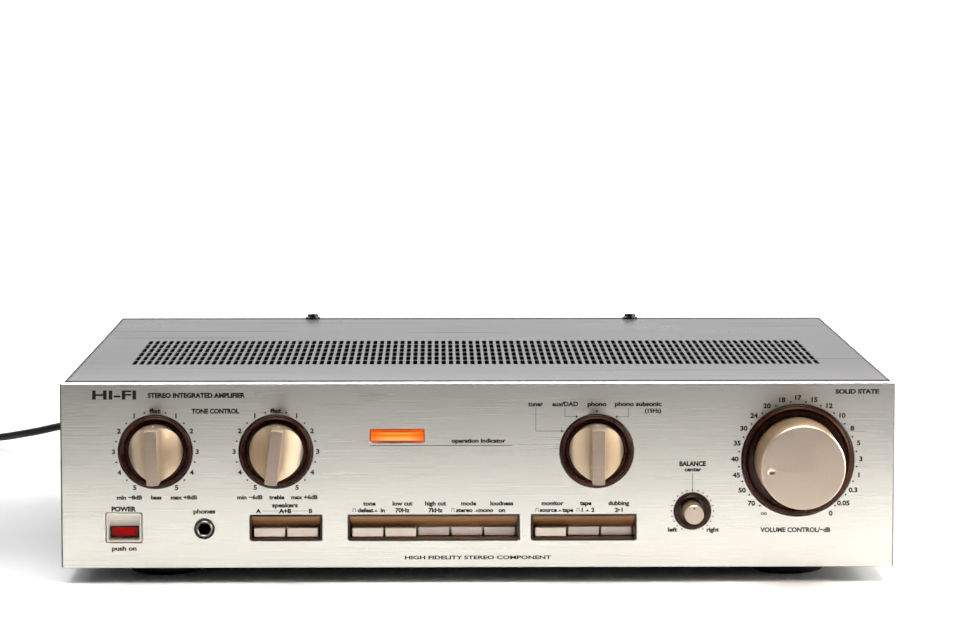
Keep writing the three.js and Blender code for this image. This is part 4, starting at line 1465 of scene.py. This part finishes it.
def socket_plate(name, node_name, bosses, bore):
    """The moulded plate of a socket block, with a hole at each place, and its two screws."""
    low, high = limits(node_name)
    x, z = (low.x + high.x) / 2, (low.z + high.z) / 2
    width, height = high.x - low.x, high.z - low.z
    plate_back = flange_front + flange_sheet
    shape = bmesh.new()
    sections = (
        (low.y, width - 8.6, height - 8.6, 1.5), (flange_front - 0.01, width - 8.6, height - 8.6, 1.5),
        (flange_front, width, height, 2.5), (plate_back - 0.4, width, height, 2.5),
        (plate_back, width - 0.8, height - 0.8, 2.2),
    )
    skin(shape, [panel_outline(x, y, z, w, h, c, 4) for y, w, h, c in sections])
    drill = bmesh.new()
    for across, up in bosses:
        turned(drill, [(0, low.y + 2), (bore, low.y + 2), (bore, plate_back + 1), (0, plate_back + 1)],
               across, up, 32)
    shape = carve(shape, drill)
    made = piece(name, shape, black_mould, [node_name], crease=40)
    screws = bmesh.new()
    for side in (-1, 1):
        across = x + side * (width / 2 - 4.2)
        head = [(0, plate_back - 0.2), (2.4, plate_back - 0.2), (2.4, plate_back + 0.6),
                (1.9, plate_back + 1.1), (0, plate_back + 1.2)]
        dome = bmesh.new()
        turned(dome, softened(head, 0.3), across, z, 32)
        for long, wide in ((1.5, 0.3), (0.3, 1.5)):
            slot_tool = bmesh.new()
            block(slot_tool, (across - long, plate_back + 0.5, z - wide),
                  (across + long, plate_back + 3, z + wide), 0.05)
            dome = carve(dome, slot_tool)
        held = bpy.data.meshes.new("screw")
        dome.to_mesh(held)
        dome.free()
        screws.from_mesh(held)
        bpy.data.meshes.remove(held)
    piece(f"{name}_screws", screws, nickel, crease=40)
    return made


def grid(centre, columns, rows, pitch, row_gap):
    """Places in even columns and rows round a middle."""
    return [
        (centre.x + (column - (columns - 1) / 2) * pitch, centre.z + (row - (rows - 1) / 2) * row_gap)
        for column in range(columns) for row in range(rows)
    ]


socket_pitch, phono_columns = 19, 7
phono_low, phono_high = limits("phono_socket_block")
phono_middle = middle("phono_socket_block")
phono_places = grid(phono_middle, phono_columns, 2, socket_pitch, socket_pitch)
socket_plate("phono_plate", "phono_socket_block", phono_places, 3.3)
shells = bmesh.new()
lining = {"white": (socket_white, bmesh.new()), "red": (socket_red, bmesh.new())}
plate_back = flange_front + flange_sheet
shell_end = phono_high.y
shell_outer, shell_inner, pin_hole = 4.15, 3.65, 1.65
for across, up in phono_places:
    shell = [
        (3.2, phono_low.y + 3), (3.2, plate_back), (5.6, plate_back), (5.6, plate_back + 0.7),
        (shell_outer, plate_back + 0.9), (shell_outer, shell_end - 0.4), (shell_outer - 0.25, shell_end),
        (shell_inner, shell_end), (shell_inner, plate_back + 1), (2.9, plate_back + 1),
        (2.9, phono_low.y + 3),
    ]
    turned(shells, shell, across, up, 40, True)
    colour = "white" if up > phono_middle.z else "red"
    inner = [
        (pin_hole, phono_low.y + 3.5), (pin_hole, shell_end - 1.2), (pin_hole + 0.3, shell_end - 0.8),
        (shell_inner - 0.05, shell_end - 0.8), (shell_inner - 0.05, plate_back + 1.05),
        (2.85, plate_back + 1.05), (2.85, phono_low.y + 3.5),
    ]
    turned(lining[colour][1], inner, across, up, 32, True)
piece("phono_shells", shells, nickel, crease=40)
for colour, (material, shape) in lining.items():
    piece(f"phono_lining_{colour}", shape, material, crease=40)

terminal_columns, terminal_rise = 4, 22
terminal_low, terminal_high = limits("speaker_terminal_block")
terminal_places = grid(
    middle("speaker_terminal_block"), terminal_columns, 2, socket_pitch, terminal_rise,
)
socket_plate("speaker_plate", "speaker_terminal_block", terminal_places, 3.6)
collars = {"red": (socket_red, bmesh.new()), "black": (black_mould, bmesh.new())}
contacts = bmesh.new()
post_end = terminal_high.y
for number, (across, up) in enumerate(terminal_places):
    colour = "red" if number // 2 % 2 == 0 else "black"
    nut = collars[colour][1]
    segments = 48
    outlines = []
    for y, radius, notch in (
        (plate_back + 0.1, 5.0, 0), (plate_back + 0.5, 5.45, 0.5), (post_end - 0.7, 5.45, 0.5),
        (post_end, 4.9, 0),
    ):
        ring = []
        for k in range(segments):
            a = 2 * math.pi * k / segments
            grown = radius - (notch if k % 4 in (0, 1) else 0)
            ring.append(Vector((across + grown * math.cos(a), y, up + grown * math.sin(a))))
        outlines.append(ring)
    outlines.append([
        Vector((across + 2.7 * math.cos(2 * math.pi * k / segments), post_end,
                up + 2.7 * math.sin(2 * math.pi * k / segments)))
        for k in range(segments)
    ])
    outlines.append([point + Vector((0, plate_back + 0.1 - post_end, 0)) for point in outlines[-1]])
    skin(nut, outlines, looped=True)
    contact = [
        (2.05, terminal_low.y + 3), (2.05, post_end - 0.4), (2.6, post_end - 0.4),
        (2.6, terminal_low.y + 3),
    ]
    turned(contacts, contact, across, up, 32, True)
for colour, (material, shape) in collars.items():
    piece(f"terminal_collars_{colour}", shape, material, crease=40)
piece("terminal_contacts", contacts, nickel, crease=40)

print_sheet = bmesh.new()
face_back = Matrix.Translation((0, rear_face, 0)) @ Matrix.Rotation(math.pi, 4, "Z")
top_line = phono_high.z + 3.2
for words, first, last in (
    ("TAPE 2", 0, 1), ("TAPE 1", 2, 3), ("AUX", 4, 4), ("TUNER", 5, 5), ("PHONO", 6, 6),
):
    first_x, last_x = (
        phono_middle.x + (column - (phono_columns - 1) / 2) * socket_pitch for column in (first, last)
    )
    legend(words, -(first_x + last_x) / 2, top_line, 2.4)
    if first != last:
        legend("PLAY", -first_x, phono_low.z - 3, 2.0)
        legend("REC", -last_x, phono_low.z - 3, 2.0)
for words, side in (("L", 1), ("R", -1)):
    legend(words, -(phono_low.x - 4.5), phono_middle.z + side * socket_pitch / 2, 2.6)
terminal_middle = middle("speaker_terminal_block")
legend("SPEAKERS", -terminal_middle.x, terminal_high.z + 3.4, 2.6)
for words, side in (("A", 1), ("B", -1)):
    legend(words, -(terminal_low.x - 4.5), terminal_middle.z + side * terminal_rise / 2, 2.8)
for words, side in (("L", -1), ("R", 1)):
    legend(words, -(terminal_middle.x + side * socket_pitch), terminal_low.z - 3.2, 2.4)
legend("INPUT", -phono_middle.x, top_line + 5.2, 2.6)
print_sheet.transform(face_back)
piece("rear_legends", print_sheet, white_ink, crease=20)


# ---- Cover ----
# One steel sheet folded over the top and both sides, sprayed with fine grey enamel. Six rows of
# punched slots let the heat out, and two flanged black screws hold its rear edge.
def make_hair_scratches():
    """Light scratches that come of sliding things across: sparse fine lines in two directions."""
    group, given, put = effect("hair_scratches", {"Fineness": 900, "Share": 0.66}, ["Mask"])
    where = node(group, "TexCoord").outputs["Object"]
    sets = []
    for turn, along in ((0.35, 0.012), (-0.9, 0.02)):
        turned_to = node(group, "Mapping", (where, "Vector"))
        turned_to.inputs["Rotation"].default_value = (0, 0, turn)
        turned_to.inputs["Scale"].default_value = (along, 1, 1)
        lines = node(
            group, "TexNoise", (turned_to.outputs["Vector"], "Vector"),
            (given.outputs["Fineness"], "Scale"), Detail=1,
        )
        over = node(
            group, "MapRange", (lines.outputs["Fac"], "Value"), (given.outputs["Share"], "From Min"),
            **{"From Max": 0.78},
        )
        sets.append(over.outputs["Result"])
    group.links.new(reckon(group, "MAXIMUM", *sets), put.inputs["Mask"])
    return group


hair_scratches = make_hair_scratches()
cover_low, cover_high = limits("top_cover")


def make_rubbed_edges():
    """Painted shade along the cover's rear edge and its two top folds, broken up by a fine noise."""
    group, _, put = effect("painted_edge_shade", {}, ["Mask"])
    where = node(group, "TexCoord").outputs["Object"]
    apart = node(group, "SeparateXYZ", (where, "Vector"))
    rear = panel_face + cover_high.y * MM
    rear_start, rear_full = 0.012, 0.007
    side_start, side_full, fold_start, fold_full = 3, 1.4, 4, 1.5
    at_rear = stretch(group, apart.outputs["Y"], rear - rear_start, rear - rear_full)
    at_side = stretch(
        group, reckon(group, "ABSOLUTE", apart.outputs["X"]),
        (cover_high.x - side_start) * MM, (cover_high.x - side_full) * MM,
    )
    near_top = stretch(
        group, apart.outputs["Z"], (cover_high.z - fold_start) * MM, (cover_high.z - fold_full) * MM,
    )
    folded = reckon(group, "MULTIPLY", at_side, near_top)
    most = reckon(group, "MAXIMUM", at_rear, folded)
    grain = node(group, "TexNoise", (where, "Vector"), Scale=300, Detail=4)
    broken = stretch(group, grain.outputs["Fac"], 0.35, 0.6, 0.6, 1.0)
    group.links.new(reckon(group, "MULTIPLY", most, broken), put.inputs["Mask"])
    return group


painted_edge_shade = make_rubbed_edges()
enamel, enamel_shader = finish("grey_enamel", tone(128, 126, 128), 0.3)
marks = apply(enamel, mould_marks, Cloud=14, Pebble=1100)
scratches = apply(enamel, hair_scratches)
scuffs = apply(enamel, hair_scratches, Fineness=260, Share=0.725)
edge_shade = apply(enamel, painted_edge_shade)
painted = shade(enamel, marks["Shade"], tone(112, 110, 112), tone(101, 99, 101))
glossed = shade(enamel, marks["Shade"], 0.34, 0.26, label="Roughness")
tree = enamel.node_tree
# Light scratches and dark scuffs are wear; the last layer, near black along the rear edge and the top
# folds, is painted shade.
for mask, colour, rough in (
    (scratches["Mask"], tone(158, 156, 156), 0.5), (scuffs["Mask"], tone(66, 65, 64), 0.8),
    (edge_shade["Mask"], tone(30, 29, 29), 1.0),
):
    layer = node(tree, "Mix", (mask, "Factor"), (painted, 6), data_type="RGBA")
    layer.inputs[7].default_value = (*colour, 1)
    painted = layer.outputs[2]
    dull = node(tree, "Mix", (mask, "Factor"), (glossed, "A"), B=rough)
    glossed = dull.outputs[0]
tree.links.new(painted, enamel_shader.inputs["Base Color"])
tree.links.new(glossed, enamel_shader.inputs["Roughness"])
relief(enamel, marks["Height"], 0.15, 0.05)

sheet = 1.0
fold = 1.6
bend_steps = 6
outside = [
    (cover_low.x, cover_low.z), (cover_low.x, cover_high.z), (cover_high.x, cover_high.z),
    (cover_high.x, cover_low.z),
]
inside = [
    (cover_high.x - sheet, cover_low.z), (cover_high.x - sheet, cover_high.z - sheet),
    (cover_low.x + sheet, cover_high.z - sheet), (cover_low.x + sheet, cover_low.z),
]
section = [
    *softened(outside, fold, steps=bend_steps),
    *softened(inside, fold - sheet, steps=bend_steps),
]
shell = bmesh.new()
skin(shell, [[(u, y, v) for u, v in section] for y in (cover_low.y, cover_high.y)])

vent_pitch, vent_margin, slot_width = 3.94, 28, 2.4
vent_front, vent_length, vent_rows = 80, 123, 6
row_gap = 1.7
slot_length = (vent_length - (vent_rows - 1) * row_gap) / vent_rows
run_across = cover_high.x - cover_low.x - 2 * vent_margin - slot_width
vent_columns = math.floor(run_across / vent_pitch) + 1
punch = bmesh.new()
end_steps = 6
for column in range(vent_columns):
    x = (column - (vent_columns - 1) / 2) * vent_pitch
    for row in range(vent_rows):
        start = vent_front + row * (slot_length + row_gap)
        outline = []
        for end, centre_y in ((1, start + slot_length - slot_width / 2), (-1, start + slot_width / 2)):
            for k in range(end_steps + 1):
                turn = math.pi * k / end_steps
                outline.append(
                    (
                        x + end * slot_width / 2 * math.cos(turn),
                        centre_y + end * slot_width / 2 * math.sin(turn),
                    )
                )
        skin(
            punch,
            [[(u, v, z) for u, v in outline] for z in (cover_high.z - 2 * sheet, cover_high.z + 1)],
        )
screw_hole = 2.2
turn = [2 * math.pi * k / 24 for k in range(24)]
for side in ("left", "right"):
    screw = middle(f"cover_screw_{side}")
    circle = [(screw.x + screw_hole * math.cos(a), screw.y + screw_hole * math.sin(a)) for a in turn]
    skin(
        punch,
        [[(u, v, z) for u, v in circle] for z in (cover_high.z - 2 * sheet, cover_high.z + 1)],
    )
# The walls of the slots and screw holes take the second finish, painted shade.
for face in punch.faces:
    face.material_index = 1
cover_mesh = carve(shell, punch)
# A near-black finish for the slot walls: painted shade.
painted_slot_shade = moulded("painted_slot_shade", tone(40, 40, 41), tone(20, 20, 21), 0.6, 300)
piece("vented_cover", cover_mesh, [enamel, painted_slot_shade], ["top_cover"], crease=40)

black_steel = moulded(
    "blackened_steel", tone(24, 24, 25), tone(10, 10, 11), (0.42, 0.28), 220, metallic=0.3,
)

for side in ("left", "right"):
    low, high = limits(f"cover_screw_{side}")
    spot = middle(f"cover_screw_{side}")
    seat = cover_high.z + fit
    head = [
        (0, low.z), (1.9, low.z), (1.9, seat), (4.6, seat), (4.6, seat + 0.8), (3.5, seat + 1.15),
        (3.2, high.z), (0, high.z),
    ]
    shape = bmesh.new()
    standing(shape, softened(head, 0.4), spot.x, spot.y)
    arm, slit = 2.2, 0.5
    for long, wide in ((arm, slit), (slit, arm)):
        slot_tool = bmesh.new()
        block(
            slot_tool, (spot.x - long, spot.y - wide, high.z - 1.4),
            (spot.x + long, spot.y + wide, high.z + 1), 0.1,
        )
        shape = carve(shape, slot_tool)
    piece(
        f"cover_bolt_{side}", shape, black_steel, [f"cover_screw_{side}"], crease=40,
    )
